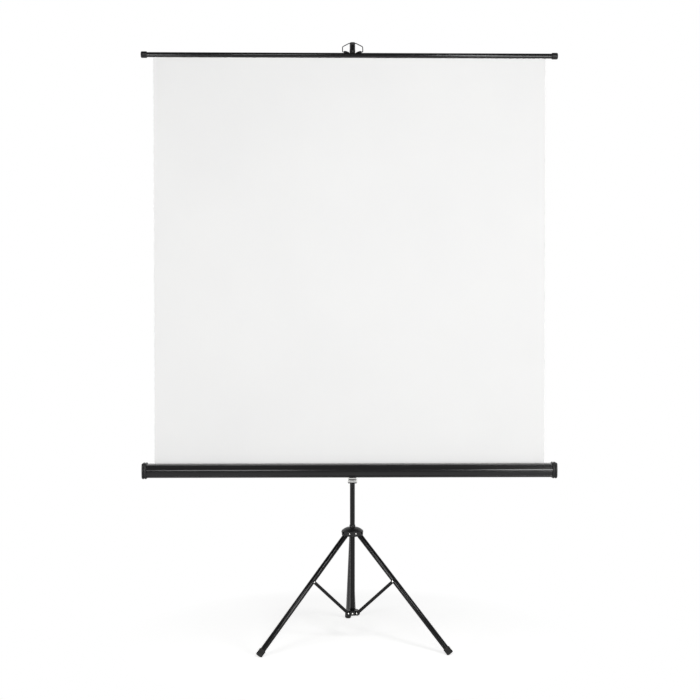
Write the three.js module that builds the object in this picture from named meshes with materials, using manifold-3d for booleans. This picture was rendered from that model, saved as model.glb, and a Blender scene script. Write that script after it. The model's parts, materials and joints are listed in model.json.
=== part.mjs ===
// Tripod projection screen, pulled up and standing open. Millimetres, +Z up, +X to the viewer's right,
// +Y away from the viewer. Sizes are laid out about the column axis (x = 0, y = 0) with the floor at z = 0;
// at the end the whole part is moved so that its origin is the middle of its footprint on the floor.
import * as THREE from 'three';
import { mergeVertices } from 'three/addons/utils/BufferGeometryUtils.js';
import Module from 'manifold-3d';

const wasm = await Module();
wasm.setup();

// Fits
const gap = 0.3;
const slidePlay = 0.5;
const overrun = 1;
const weldDistance = 1e-4;
const roundSides = 32;
const wideSides = 48;
const smallSides = 16;
const arcSteps = 6;
const domeSteps = 5;

// Sheet and batten
const screenCentreX = -11;
const sheetPlaneY = -54;
const sheetWidth = 1550;
const sheetThickness = 0.8;
const battenDrop = 60.6;
const battenEndRoom = 49.5;
const battenRadius = 10;
const battenWall = 1.2;
const battenCapRadius = 13;
const battenCapLength = 24;
const battenCapEdge = 3;
const battenCapDraft = 1;
const battenCapLead = 2;

// Bail: the wire loop on the batten that hangs in the mast's hook
const wireRadius = 1.5;
const bailHalfWidth = 40;
const bailFootLength = 15;
const bailSideHeight = 30;
const bailTopHalf = 12;
const bailBendRadius = 5;
const bailApexDrop = 5.8;
const wireSteps = 52;
const wireSectionSteps = 5;
const eyeletLength = 8;
const eyeletWidth = 9;
const eyeletRise = 3.2;
const eyeletWall = 1.6;
const eyeletSkirt = 3;
const eyeletTailLength = 13;

// Case
const caseCentreZ = 703;
const caseEndRoom = 46.5;
const caseDepth = 50;
const caseHeight = 53;
const caseWall = 1.3;
const caseRidgeZ = 2.4;
const caseTopSetback = 4;
const caseLowSetback = 2.5;
const caseChamfer = 5;
const caseBackEdge = 2.5;
const slotWidth = 6;
const slotBackRoom = 2.2;
const capProud = 4.5;
const capLength = 18.6;
const capEndThickness = 6;
const capBevel = 2;
const capFlange = 6;
const capPlate = 9;
const capGrooveDepth = 3;
const capSocketDepth = 3.5;

// Roller
const rollerRadius = 16;
const rollerWall = 1;
const rollThickness = 1.1;
const rollerOverhang = 10;
const plugLength = 25;
const plugFlange = 2;
const journalRadius = 3.5;
const spindleLength = 250;
const springLength = 190;
const springThickness = 3;

// Column and mast
const columnRadius = 10;
const columnWall = 1.2;
const columnTopZ = 1370;
const mastWall = 1;
const mastOverlap = 160;
const hookTopZ = 2405.8;
const hookWall = 1.8;
const hookLength = 69;
const hookRoof = 5;
const hookDome = 4;
const noseReach = 22;
const noseWidth = 12;
const noseHeight = 26;
const noseLip = 6;
const notchDepth = 6;
const bushLength = 20;
const bushFlange = 3;
const clampWall = 6.7;
const clampEdge = 2;
const clampBelow = 22;
const clampAbove = 15;

// Clamp knobs
const knobRadius = 15;
const knobThickness = 12;
const knobLobes = 5;
const lobeSteps = 6;
const knobLobeDepth = 2.5;
const studRadius = 3;

// Slider and swivel
const sliderDrop = 59;
const sliderLength = 100;
const sleeveWall = 5.4;
const pocketFloor = 0.8;
const bracketThickness = 2.5;
const bracketSideReach = 12;
const bracketCorner = 7;
const swivelBoltRadius = 4;
const swivelHeadRadius = 7;
const swivelHeadHeight = 3.4;
const washerRadius = 15;
const washerThickness = 2;
const bossRadius = 15;
const saddleThickness = 3;
const saddleWidth = 110;
const saddleHeight = 38;
const strapWidth = 28;
const saddleScrewInset = 13;
const screwRadius = 2;
const screwHeadRadius = 4.5;
const screwHeadHeight = 2.4;
const screwBite = 3.9;

// Tripod
const legPlanAngles = { left: 211.4, right: 331.4, rear: 91.4 };
const viewerSides = { left: 1, right: -1, rear: -1 };
const legSpread = 42.66;
const legRadius = 10;
const legWall = 1.2;
const legEndHeight = 5.2;
const footRadius = 13.6;
const footLength = 28;
const footSole = 8;
const footChamfer = 2;
const hubPivotZ = 445;
const hubPivotRadius = 31.6;
const hubRadius = 43.5;
const hubSkirt = 12;
const hubRimHeight = 20;
const hubRimDraft = 1;
const hubRimEdge = 1.5;
const hubDomeHeight = 14;
const hubNeckHeight = 8.5;
const hubNeckWall = 1.6;
const hubCoreWall = 3.2;
const pivotPinRadius = 2.75;
const knuckleRadius = 7;
const knuckleWidth = 17;
const knuckleShoulder = 3;
const knuckleRoom = 1;
const legMouthRise = 4.55;
const legPivotOffset = 6;
const legTopDrop = 17;
const knucklePlugLength = 24;
const stopRingWall = 2.7;
const stopRingHeight = 6;

// Stays and lower collar
const collarPivotZ = 122;
const collarPivotRadius = 27;
const collarRadius = 26;
const collarHeight = 19;
const collarFloor = 4;
const collarEdge = 2;
const earThickness = 6;
const stayRivetDistance = 236.7;
const stayRivetOffset = 7.7;
const stayWidth = 12;
const stayThickness = 3;
const stayRivetRadius = 2.4;
const stayRivetHeadRadius = 3.4;
const stayRivetHeadHeight = 1.8;

// Places that follow from the sizes above
const columnInnerRadius = columnRadius - columnWall;
const mastRadius = columnInnerRadius - slidePlay;
const mastInnerRadius = mastRadius - mastWall;
const columnSlideRadius = columnRadius + gap;
const hookRadius = mastRadius + gap + hookWall;
const clampRadius = columnSlideRadius + clampWall;
const sleeveRadius = columnSlideRadius + sleeveWall;
const battenAxisZ = hookTopZ - battenDrop;
const battenLength = sheetWidth + 2 * battenEndRoom;
const caseLength = sheetWidth + 2 * caseEndRoom;
const caseBackY = sheetPlaneY + slotWidth / 2 + caseWall + slotBackRoom;
const caseCentreY = caseBackY - caseDepth / 2;
const sliderBottomZ = caseCentreZ - sliderDrop;
const sliderTopZ = sliderBottomZ + sliderLength;
const hubBottomZ = hubPivotZ - hubSkirt;
const hubShoulderZ = hubBottomZ + hubRimHeight;
const hubDomeZ = hubShoulderZ + hubDomeHeight;
const hubTopZ = hubDomeZ + hubNeckHeight;
const legs = Object.keys(legPlanAngles);
const shellLength = caseLength - 2 * (capEndThickness + gap);
const spread = THREE.MathUtils.degToRad(legSpread);
const stayBarInner = legRadius + gap;
const stayBarOuter = stayBarInner + stayThickness;
const bracketHalfWidth = sleeveRadius + gap + bracketThickness;
const bracketFrontY = -bracketHalfWidth;

// Colours read from the photo
const materials = {
  powderCoat: () => new THREE.MeshStandardMaterial({ color: '#2a2a2c', roughness: 0.42, metalness: 0.1 }),
  plastic: () => new THREE.MeshStandardMaterial({ color: '#303032', roughness: 0.5, metalness: 0 }),
  rubber: () => new THREE.MeshStandardMaterial({ color: '#343434', roughness: 0.8, metalness: 0 }),
  zinc: () => new THREE.MeshStandardMaterial({ color: '#b4b4b0', roughness: 0.35, metalness: 1 }),
  rivetSteel: () => new THREE.MeshStandardMaterial({ color: '#c9c9c6', roughness: 0.28, metalness: 1 }),
  darkSteel: () => new THREE.MeshStandardMaterial({ color: '#3a3a3c', roughness: 0.4, metalness: 0.9 }),
  nylon: () => new THREE.MeshStandardMaterial({ color: '#d8d6cf', roughness: 0.55, metalness: 0 }),
  fabric: () => new THREE.MeshStandardMaterial({ color: '#ececec', roughness: 0.9, metalness: 0 }),
};

// Shape helpers
function toSolid(geometry) {
  const plain = geometry.clone();
  plain.deleteAttribute('normal');
  plain.deleteAttribute('uv');
  const welded = mergeVertices(plain, weldDistance);
  return new wasm.Manifold(new wasm.Mesh({
    numProp: 3,
    vertProperties: new Float32Array(welded.attributes.position.array),
    triVerts: new Uint32Array(welded.index.array),
  }));
}

function fromSolid(solid) {
  const mesh = solid.getMesh();
  const geometry = new THREE.BufferGeometry();
  geometry.setAttribute('position', new THREE.BufferAttribute(new Float32Array(mesh.vertProperties), 3));
  geometry.setIndex(new THREE.BufferAttribute(new Uint32Array(mesh.triVerts), 1));
  geometry.computeVertexNormals();
  return geometry;
}

function join(first, ...others) {
  return fromSolid(others.reduce((solid, other) => solid.add(toSolid(other)), toSolid(first)));
}

function cut(first, ...tools) {
  return fromSolid(tools.reduce((solid, tool) => solid.subtract(toSolid(tool)), toSolid(first)));
}

// A solid of revolution about Z; the profile is a list of [radius, z].
function turned(profile, sides = roundSides) {
  const points = profile.map(([radius, z]) => new THREE.Vector2(radius, z));
  return new THREE.LatheGeometry(points, sides).rotateX(Math.PI / 2);
}

// A round tube about Z from z = bottom to z = top.
function tube(outer, inner, bottom, top, sides = roundSides) {
  return turned([[inner, bottom], [outer, bottom], [outer, top], [inner, top], [inner, bottom]], sides);
}

// A solid cylinder about Z from z = bottom to z = top.
function rod(radius, bottom, top, sides = roundSides) {
  return turned([[0, bottom], [radius, bottom], [radius, top], [0, top]], sides);
}

// A box given by its limits on each axis.
function block(x0, x1, y0, y1, z0, z1) {
  const box = new THREE.BoxGeometry(x1 - x0, y1 - y0, z1 - z0);
  return box.translate((x0 + x1) / 2, (y0 + y1) / 2, (z0 + z1) / 2);
}

// Turns a shape made about Z so that its +Z end points along +Y (side 1) or -Y (side -1).
function alongY(geometry, side = 1) {
  return geometry.rotateX(-side * Math.PI / 2);
}

// Turns a shape made about Z so that its +Z end points along +X (side 1) or -X (side -1).
function alongX(geometry, side = 1) {
  return geometry.rotateY(side * Math.PI / 2);
}

// A flat outline in X (across) and Z (up), given thickness between two places along Y.
function slab(shape, fromY, toY) {
  const depth = Math.abs(toY - fromY);
  const body = new THREE.ExtrudeGeometry(shape, { depth, bevelEnabled: false, curveSegments: arcSteps });
  return body.rotateX(Math.PI / 2).translate(0, Math.max(fromY, toY), 0);
}

// A convex outline in Y and Z, as [y, z] points, drawn out along X between two places.
function prism(outline, fromX, toX) {
  const shape = new THREE.Shape(outline.map(([y, z]) => new THREE.Vector2(y, z)));
  const body = new THREE.ExtrudeGeometry(shape, { depth: toX - fromX, bevelEnabled: false });
  return body.rotateX(Math.PI / 2).rotateZ(Math.PI / 2).translate(fromX, 0, 0);
}

// Moves every side of a convex outline outward by a distance (inward when it is negative).
function outset(outline, distance) {
  const count = outline.length;
  const lines = outline.map(([y0, z0], i) => {
    const [y1, z1] = outline[(i + 1) % count];
    const length = Math.hypot(y1 - y0, z1 - z0);
    const normal = [(z1 - z0) / length, -(y1 - y0) / length];
    return { normal, level: normal[0] * y0 + normal[1] * z0 + distance };
  });
  return lines.map((line, i) => {
    const before = lines[(i + count - 1) % count];
    const [a, b] = before.normal;
    const [c, d] = line.normal;
    const scale = a * d - b * c;
    return [(before.level * d - line.level * b) / scale, (a * line.level - c * before.level) / scale];
  });
}

// The profile of a dome, as [radius, z] points from its rim up to its eye, which may be on the axis.
function dome(radius, rimZ, height, eye = 0) {
  const points = [];
  for (let i = 0; i < domeSteps; i += 1) {
    const angle = (i * Math.PI) / (2 * domeSteps);
    points.push([eye + (radius - eye) * Math.cos(angle), rimZ + height * Math.sin(angle)]);
  }
  return [...points, [eye, rimZ + height]];
}

// A rivet or screw about Z: its domed head stands on z = 0 and its shank runs down from there.
function rivet(shankRadius, shankLength, headRadius, headHeight) {
  const shank = [[0, -shankLength], [shankRadius, -shankLength], [shankRadius, 0]];
  return turned([...shank, ...dome(headRadius, 0, headHeight)], smallSides);
}

function piece(group, name, geometry, material) {
  const mesh = new THREE.Mesh(geometry, materials[material]());
  mesh.name = name;
  group.add(mesh);
  return mesh;
}

function named(parent, name) {
  const group = new THREE.Group();
  group.name = name;
  parent.add(group);
  return group;
}

// Column: the fixed tube, the collar at its foot and the mast clamp at its top
function footCollar() {
  const bottom = collarPivotZ - collarHeight / 2;
  const top = collarPivotZ + collarHeight / 2;
  const floor = bottom + collarFloor;
  const flat = collarRadius - collarEdge;
  const cup = turned([
    [0, bottom], [flat, bottom], [collarRadius, bottom + collarEdge], [collarRadius, top - collarEdge],
    [flat, top], [columnSlideRadius, top], [columnSlideRadius, floor], [0, floor],
  ], wideSides);
  const ears = legs.map((leg) => collarEar(leg));
  const pinHoles = legs.map((leg) => stayPinHole(leg));
  const reliefs = legs.map((leg) => stayRelief(leg));
  const rivetHole = alongY(rod(stayRivetRadius + gap, 0, 2 * collarRadius, smallSides), -1);
  rivetHole.translate(0, 0, collarPivotZ);
  const bore = rod(columnSlideRadius, floor, top + overrun);
  return cut(join(cup, ...ears), ...pinHoles, ...reliefs, rivetHole, bore);
}

// The room that a stay's end swings in, cut out of the collar's rim outside its ear
function stayRelief(leg) {
  const side = viewerSides[leg];
  const near = side * legRadius;
  const far = side * (stayBarOuter + stayRivetHeadHeight + 2 * gap);
  const inner = collarPivotRadius - stayWidth / 2 - 2 * gap;
  const outer = collarPivotRadius + collarRadius;
  const half = collarHeight;
  const room = block(inner, outer, Math.min(near, far), Math.max(near, far), -half, half);
  return room.translate(0, 0, collarPivotZ).rotateZ(THREE.MathUtils.degToRad(legPlanAngles[leg]));
}

function collarEar(leg) {
  const half = collarHeight / 2;
  const shape = new THREE.Shape();
  shape.moveTo(columnSlideRadius, -half);
  shape.lineTo(collarPivotRadius, -half);
  shape.absarc(collarPivotRadius, 0, half, -Math.PI / 2, Math.PI / 2);
  shape.lineTo(columnSlideRadius, half);
  const side = viewerSides[leg];
  const ear = slab(shape, side * (legRadius - earThickness), side * legRadius);
  return ear.translate(0, 0, collarPivotZ).rotateZ(THREE.MathUtils.degToRad(legPlanAngles[leg]));
}

function stayPinHole(leg) {
  const hole = alongY(rod(stayRivetRadius + gap, 0, 2 * legRadius, smallSides), viewerSides[leg]);
  hole.translate(collarPivotRadius, 0, collarPivotZ);
  return hole.rotateZ(THREE.MathUtils.degToRad(legPlanAngles[leg]));
}

function stayPin(leg) {
  const side = viewerSides[leg];
  const shank = stayBarOuter + gap - (legRadius - earThickness);
  const pin = alongY(rivet(stayRivetRadius, shank, stayRivetHeadRadius, stayRivetHeadHeight), side);
  pin.translate(collarPivotRadius, side * (stayBarOuter + gap), collarPivotZ);
  return pin.rotateZ(THREE.MathUtils.degToRad(legPlanAngles[leg]));
}

function collarRivet() {
  const shank = collarRadius - columnSlideRadius;
  const pin = alongY(rivet(stayRivetRadius, shank, stayRivetHeadRadius, stayRivetHeadHeight), -1);
  return pin.translate(0, -collarRadius - gap, collarPivotZ);
}

function mastClamp() {
  const bottom = columnTopZ - clampBelow;
  const top = columnTopZ + clampAbove;
  const flat = clampRadius - clampEdge;
  const mastBore = mastRadius + slidePlay;
  const ring = turned([
    [columnSlideRadius, bottom], [flat, bottom], [clampRadius, bottom + clampEdge],
    [clampRadius, top - clampEdge], [flat, top], [mastBore, top], [mastBore, columnTopZ + gap],
    [columnSlideRadius, columnTopZ + gap], [columnSlideRadius, bottom],
  ]);
  const studHole = alongY(rod(studRadius + gap, 0, 2 * clampRadius, smallSides));
  return cut(ring, studHole.translate(0, 0, columnTopZ + clampAbove / 2));
}

// A lobed knob on a stud that lies along Y; the stud's end is at y = tip and the knob's face at y = seat.
function clampKnob(tip, seat) {
  const shape = new THREE.Shape();
  const steps = lobeSteps * knobLobes;
  for (let i = 0; i < steps; i += 1) {
    const angle = (2 * Math.PI * i) / steps;
    const radius = knobRadius - knobLobeDepth * (0.5 - 0.5 * Math.cos(knobLobes * angle));
    const place = [radius * Math.cos(angle), radius * Math.sin(angle)];
    if (i === 0) shape.moveTo(...place);
    else shape.lineTo(...place);
  }
  const head = slab(shape, seat, seat + knobThickness);
  const stud = alongY(rod(studRadius, tip, seat + knobThickness / 2, smallSides));
  return join(head, stud);
}

function buildColumn(root) {
  const column = named(root, 'column');
  const bottom = collarPivotZ - collarHeight / 2 + collarFloor + gap;
  piece(column, 'column_tube', tube(columnRadius, columnInnerRadius, bottom, columnTopZ), 'powderCoat');
  piece(column, 'foot_collar', footCollar(), 'plastic');
  piece(column, 'collar_rivet', collarRivet(), 'rivetSteel');
  legs.forEach((leg) => piece(column, `stay_pin_${leg}`, stayPin(leg), 'rivetSteel'));
  const ringTop = hubBottomZ - gap;
  const ringRadius = columnSlideRadius + stopRingWall;
  const ring = tube(ringRadius, columnSlideRadius, ringTop - stopRingHeight, ringTop);
  piece(column, 'stop_ring', ring, 'darkSteel');
  piece(column, 'mast_clamp', mastClamp(), 'plastic');
  const knob = named(column, 'mast_knob_turn');
  knob.position.z = columnTopZ + clampAbove / 2;
  piece(knob, 'mast_knob', clampKnob(mastRadius + slidePlay, clampRadius + gap), 'plastic');
}

// Mast: the inner tube that slides up out of the column and ends in the hook
function mastHook() {
  const bottom = hookTopZ - hookLength;
  const bore = mastRadius + gap;
  const roof = hookTopZ - hookRoof;
  const socket = [[0, roof], [bore, roof], [bore, bottom], [hookRadius, bottom]];
  const cap = turned([...socket, ...dome(hookRadius, hookTopZ - hookDome, hookDome)]);
  const lipTop = bailApex().z - wireRadius - gap + notchDepth;
  const front = -hookRadius - noseReach;
  const nose = block(-noseWidth / 2, noseWidth / 2, front, -bore, lipTop - noseHeight, lipTop);
  const notchY = bailApex().y;
  const notchHalf = wireRadius + 2 * gap;
  const floor = lipTop - notchDepth;
  const above = lipTop + overrun;
  const notch = block(-noseWidth, noseWidth, notchY - notchHalf, notchY + notchHalf, floor, above);
  const before = front - overrun;
  const underside = block(-noseWidth, noseWidth, before, notchY, lipTop - 2 * noseHeight, floor - noseLip);
  return cut(join(cap, nose), notch, underside, rod(bore, bottom - overrun, roof));
}

function mastBush() {
  const seat = columnTopZ - mastOverlap - gap;
  const rim = columnInnerRadius - gap;
  const plug = mastInnerRadius - gap;
  const bottom = seat - bushFlange;
  const top = seat + bushLength;
  return turned([[0, bottom], [rim, bottom], [rim, seat], [plug, seat], [plug, top], [0, top]]);
}

function buildMast(root) {
  const mast = named(root, 'mast');
  const top = hookTopZ - hookRoof - gap;
  const body = tube(mastRadius, mastInnerRadius, columnTopZ - mastOverlap, top);
  piece(mast, 'mast_tube', body, 'powderCoat');
  piece(mast, 'mast_hook', mastHook(), 'plastic');
  piece(mast, 'mast_bush', mastBush(), 'plastic');
}

// Hub: the crown that slides on the column and carries the three leg pivots
function legSlot(plan) {
  const inner = columnSlideRadius + hubCoreWall;
  const wall = hubPivotRadius + knuckleRadius + knuckleRoom;
  const roof = hubPivotZ + knuckleRadius + knuckleRoom;
  const mouth = hubPivotZ + legMouthRise;
  const outside = hubRadius + overrun;
  const below = hubBottomZ - overrun;
  const outline = [
    [inner, below], [outside, below], [outside, mouth], [wall, mouth], [wall, roof], [inner, roof],
  ];
  const shape = new THREE.Shape(outline.map(([r, z]) => new THREE.Vector2(r, z)));
  const half = knuckleWidth / 2 + 2 * gap;
  return slab(shape, -half, half).rotateZ(plan);
}

function pivotPinLine(geometry, plan) {
  return alongY(geometry).translate(hubPivotRadius, 0, hubPivotZ).rotateZ(plan);
}

function hubCrown() {
  const neck = columnSlideRadius + hubNeckWall;
  const body = turned([
    [columnSlideRadius, hubBottomZ], [hubRadius - hubRimDraft - hubRimEdge, hubBottomZ],
    [hubRadius - hubRimDraft, hubBottomZ + hubRimEdge],
    ...dome(hubRadius, hubShoulderZ, hubDomeHeight, neck), [neck, hubTopZ],
    [columnSlideRadius, hubTopZ], [columnSlideRadius, hubBottomZ],
  ], wideSides);
  const plans = Object.values(legPlanAngles).map((angle) => THREE.MathUtils.degToRad(angle));
  const slots = plans.map((plan) => legSlot(plan));
  const hole = (plan) => pivotPinLine(rod(pivotPinRadius + gap, -hubRadius, hubRadius, smallSides), plan);
  return cut(body, ...slots, ...plans.map((plan) => hole(plan)));
}

function hubPin(plan) {
  const length = 2 * Math.sqrt(hubRadius ** 2 - hubPivotRadius ** 2);
  const pin = new THREE.CapsuleGeometry(pivotPinRadius, length, domeSteps, smallSides).rotateX(Math.PI / 2);
  return pivotPinLine(pin, plan);
}

function buildHub(root) {
  const hub = named(root, 'hub');
  piece(hub, 'hub_crown', hubCrown(), 'plastic');
  Object.entries(legPlanAngles).forEach(([leg, angle]) => {
    piece(hub, `hub_pin_${leg}`, hubPin(THREE.MathUtils.degToRad(angle)), 'rivetSteel');
  });
}

// Legs: made about their pivot with the leg running down -Z and its axis set inward of the pivot
function legReach() {
  return (hubPivotZ - legPivotOffset * Math.sin(spread) - legEndHeight) / Math.cos(spread);
}

function legKnuckle() {
  const left = -legPivotOffset - legRadius;
  const right = -legPivotOffset + legRadius;
  const shoulder = -knuckleRadius - knuckleShoulder;
  const bottom = -legTopDrop + gap;
  const shape = new THREE.Shape();
  shape.moveTo(left, bottom);
  shape.lineTo(right, bottom);
  shape.lineTo(right, shoulder);
  shape.lineTo(knuckleRadius, 0);
  shape.absarc(0, 0, knuckleRadius, 0, Math.PI);
  shape.lineTo(left, shoulder);
  const body = slab(shape, -knuckleWidth / 2, knuckleWidth / 2);
  const plug = rod(legRadius - legWall - gap, bottom - knucklePlugLength, bottom + overrun);
  const hole = alongY(rod(pivotPinRadius + gap, -knuckleWidth, knuckleWidth, smallSides));
  return cut(join(body, plug.translate(-legPivotOffset, 0, 0)), hole);
}

function legFoot(frame) {
  const reach = legReach();
  const end = -reach;
  const bore = legRadius + gap;
  const cup = turned([
    [0, end], [footRadius - footChamfer, end], [footRadius, end + footChamfer],
    [footRadius, end + footLength], [bore, end + footLength], [bore, end + footSole], [0, end + footSole],
  ]);
  cup.translate(-legPivotOffset, 0, 0);
  const ground = block(-reach, reach, -reach, reach, -reach, 0);
  return cut(cup, ground.applyMatrix4(frame.clone().invert()));
}

function legTube() {
  const bottom = -legReach() + footSole + gap;
  const body = tube(legRadius, legRadius - legWall, bottom, -legTopDrop);
  return body.translate(-legPivotOffset, 0, 0);
}

function buildLeg(root, leg) {
  const plan = named(root, `leg_${leg}_plan`);
  plan.rotation.z = THREE.MathUtils.degToRad(legPlanAngles[leg]);
  const hinge = named(plan, `leg_${leg}`);
  hinge.position.set(hubPivotRadius, 0, hubPivotZ);
  hinge.rotation.y = -spread;
  plan.updateWorldMatrix(true, true);
  piece(hinge, `leg_${leg}_knuckle`, legKnuckle(), 'plastic');
  piece(hinge, `leg_${leg}_tube`, legTube(), 'powderCoat');
  piece(hinge, `leg_${leg}_foot`, legFoot(hinge.matrixWorld), 'rubber');
}

// Stays: flat bars from the lower collar to the side of each leg
function stayLine() {
  const along = new THREE.Vector2(Math.sin(spread), -Math.cos(spread)).multiplyScalar(stayRivetDistance);
  const inward = new THREE.Vector2(-Math.cos(spread), -Math.sin(spread)).multiplyScalar(stayRivetOffset);
  const upper = new THREE.Vector2(hubPivotRadius, hubPivotZ).add(along).add(inward);
  return upper.sub(new THREE.Vector2(collarPivotRadius, collarPivotZ));
}

function stayBar(length, side) {
  const half = stayWidth / 2;
  const shape = new THREE.Shape();
  shape.absarc(0, 0, half, Math.PI, 2 * Math.PI);
  shape.absarc(0, length, half, 0, Math.PI);
  [0, length].forEach((place) => {
    const hole = new THREE.Path();
    hole.absarc(0, place, stayRivetRadius + gap, 0, 2 * Math.PI, true);
    shape.holes.push(hole);
  });
  return slab(shape, side * stayBarInner, side * stayBarOuter);
}

function buildStay(root, leg) {
  const plan = named(root, `stay_${leg}_plan`);
  plan.rotation.z = THREE.MathUtils.degToRad(legPlanAngles[leg]);
  const hinge = named(plan, `stay_${leg}`);
  const line = stayLine();
  const side = viewerSides[leg];
  hinge.position.set(collarPivotRadius, 0, collarPivotZ);
  hinge.rotation.y = Math.atan2(line.x, line.y);
  piece(hinge, `stay_${leg}_bar`, stayBar(line.length(), side), 'powderCoat');
  const shank = stayThickness + gap;
  const head = alongY(rivet(stayRivetRadius, shank, stayRivetHeadRadius, stayRivetHeadHeight), side);
  head.translate(0, side * (stayBarOuter + gap), line.length());
  piece(hinge, `stay_${leg}_rivet`, head, 'rivetSteel');
}

// Slider: the sleeve on the column, its plated bracket and the bolt that the case turns on
function sliderSleeve() {
  const body = tube(sleeveRadius, columnSlideRadius, sliderBottomZ, sliderTopZ);
  const pocketDepth = columnSlideRadius + pocketFloor;
  const pocket = alongY(rod(swivelHeadRadius + gap, pocketDepth, 2 * sleeveRadius, smallSides), -1);
  const studHole = alongY(rod(studRadius + gap, 0, 2 * sleeveRadius, smallSides));
  return cut(body, pocket.translate(0, 0, caseCentreZ), studHole.translate(0, 0, caseCentreZ));
}

function sliderBracket() {
  const inner = sleeveRadius + gap;
  const cornerX = bracketHalfWidth - bracketCorner;
  const cornerZ = sliderBottomZ + bracketCorner;
  const outline = new THREE.Shape();
  outline.moveTo(-bracketHalfWidth, sliderTopZ);
  outline.absarc(-cornerX, cornerZ, bracketCorner, Math.PI, 1.5 * Math.PI);
  outline.absarc(cornerX, cornerZ, bracketCorner, 1.5 * Math.PI, 2 * Math.PI);
  outline.lineTo(bracketHalfWidth, sliderTopZ);
  const front = slab(outline, bracketFrontY, bracketSideReach);
  const below = sliderBottomZ - overrun;
  const hollow = block(-inner, inner, -inner, bracketSideReach + overrun, below, sliderTopZ + overrun);
  const hole = alongY(rod(swivelBoltRadius + gap, 0, 2 * bracketHalfWidth, smallSides), -1);
  return cut(front, hollow, hole.translate(0, 0, caseCentreZ));
}

// The bolt's head lies in the sleeve's pocket and its shank runs forward into the saddle's boss.
function swivelBolt() {
  const headFace = sleeveRadius - 2 * gap;
  const tip = -caseBackY - 2 * gap;
  const bolt = turned([
    [0, headFace - swivelHeadHeight], [swivelHeadRadius, headFace - swivelHeadHeight],
    [swivelHeadRadius, headFace], [swivelBoltRadius, headFace], [swivelBoltRadius, tip], [0, tip],
  ], smallSides);
  return alongY(bolt, -1).translate(0, 0, caseCentreZ);
}

function buildSlider(root) {
  const slider = named(root, 'slider');
  piece(slider, 'slider_sleeve', sliderSleeve(), 'plastic');
  piece(slider, 'slider_bracket', sliderBracket(), 'zinc');
  piece(slider, 'swivel_bolt', swivelBolt(), 'rivetSteel');
  const near = -bracketFrontY + gap;
  const washer = tube(washerRadius, swivelBoltRadius + gap, near, near + washerThickness);
  piece(slider, 'swivel_washer', alongY(washer, -1).translate(0, 0, caseCentreZ), 'nylon');
  const knob = named(slider, 'height_knob_turn');
  knob.position.z = caseCentreZ;
  piece(knob, 'height_knob', clampKnob(columnSlideRadius, sleeveRadius + gap), 'plastic');
}

// Case: outline in Y and Z about its own middle, counter-clockwise seen from +X
function caseOutline() {
  const depth = caseDepth / 2;
  const height = caseHeight / 2;
  const backEdge = depth - caseBackEdge;
  const lowFront = -depth + caseLowSetback;
  return [
    [-depth + caseTopSetback, height], [-depth, caseRidgeZ], [lowFront, -height + caseChamfer],
    [lowFront + caseChamfer, -height], [backEdge, -height], [depth, -height + caseBackEdge],
    [depth, height - caseBackEdge], [backEdge, height],
  ];
}

function inCase(geometry) {
  return geometry.translate(screenCentreX, caseCentreY, caseCentreZ);
}

function saddleScrewPlaces() {
  const out = saddleWidth / 2 - saddleScrewInset;
  return [-out, out];
}

function caseShell() {
  const half = shellLength / 2;
  const outline = caseOutline();
  const body = prism(outline, -half, half);
  const past = half + overrun;
  const hollow = prism(outset(outline, -caseWall), -past, past);
  const slotY = sheetPlaneY - caseCentreY;
  const slot = block(-past, past, slotY - slotWidth / 2, slotY + slotWidth / 2, 0, caseHeight);
  const holes = saddleScrewPlaces().map((x) => {
    const hole = alongY(rod(screwRadius + gap, 0, caseDepth, smallSides));
    return hole.translate(x - screenCentreX, 0, 0);
  });
  return inCase(cut(body, hollow, slot, ...holes));
}

// The end cap: a flange and an end plate that stand proud of the case, with a groove between them
function caseCap(side) {
  const outer = outset(caseOutline(), capProud);
  const end = caseLength / 2;
  const start = end - capLength;
  const core = prism(outset(outer, -capGrooveDepth), start, end);
  const flange = prism(outer, start, start + capFlange);
  const plate = prism(outer, end - capPlate, end - capBevel);
  const rim = prism(outset(outer, -capBevel), end - capPlate, end);
  const pocket = prism(outset(caseOutline(), gap), start - overrun, end - capEndThickness);
  const socketEnd = end - capEndThickness + capSocketDepth;
  const socket = alongX(rod(journalRadius + gap, 0, socketEnd, smallSides));
  const cap = cut(join(core, flange, plate, rim), pocket, socket);
  if (side < 0) cap.scale(-1, 1, 1).setIndex(Array.from(cap.index.array).reverse());
  return inCase(cap);
}

// The saddle: a plate screwed to the back of the case, a strap under it and the boss of the swivel
function caseSaddle() {
  const back = caseBackY - caseCentreY + gap;
  const face = back + saddleThickness;
  const bottom = -caseHeight / 2 - gap;
  const plate = block(-saddleWidth / 2, saddleWidth / 2, back, face, -saddleHeight / 2, saddleHeight / 2);
  const half = strapWidth / 2;
  const strapBack = block(-half, half, back, face, bottom - saddleThickness, saddleHeight / 2);
  const outside = outset(caseOutline(), gap + saddleThickness);
  const strapRing = prism(outside, -half, half);
  const strapTop = -caseHeight / 2 + caseChamfer;
  const aboveStrap = block(-strapWidth, strapWidth, -caseDepth, caseDepth, strapTop, caseHeight);
  const strap = cut(strapRing, prism(outset(caseOutline(), gap), -strapWidth, strapWidth), aboveStrap);
  const bossEnd = bracketFrontY - 2 * gap - washerThickness - caseCentreY;
  const boss = alongY(rod(bossRadius, back, bossEnd));
  const bore = alongY(rod(swivelBoltRadius + gap, back - overrun, bossEnd + overrun, smallSides));
  const holes = saddleScrewPlaces().map((x) => {
    const hole = rod(screwRadius + gap, back - overrun, face + overrun, smallSides);
    return alongY(hole).translate(x, 0, 0);
  });
  const body = cut(join(plate, strapBack, strap, boss), bore, ...holes);
  return body.translate(0, caseCentreY, caseCentreZ);
}

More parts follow.
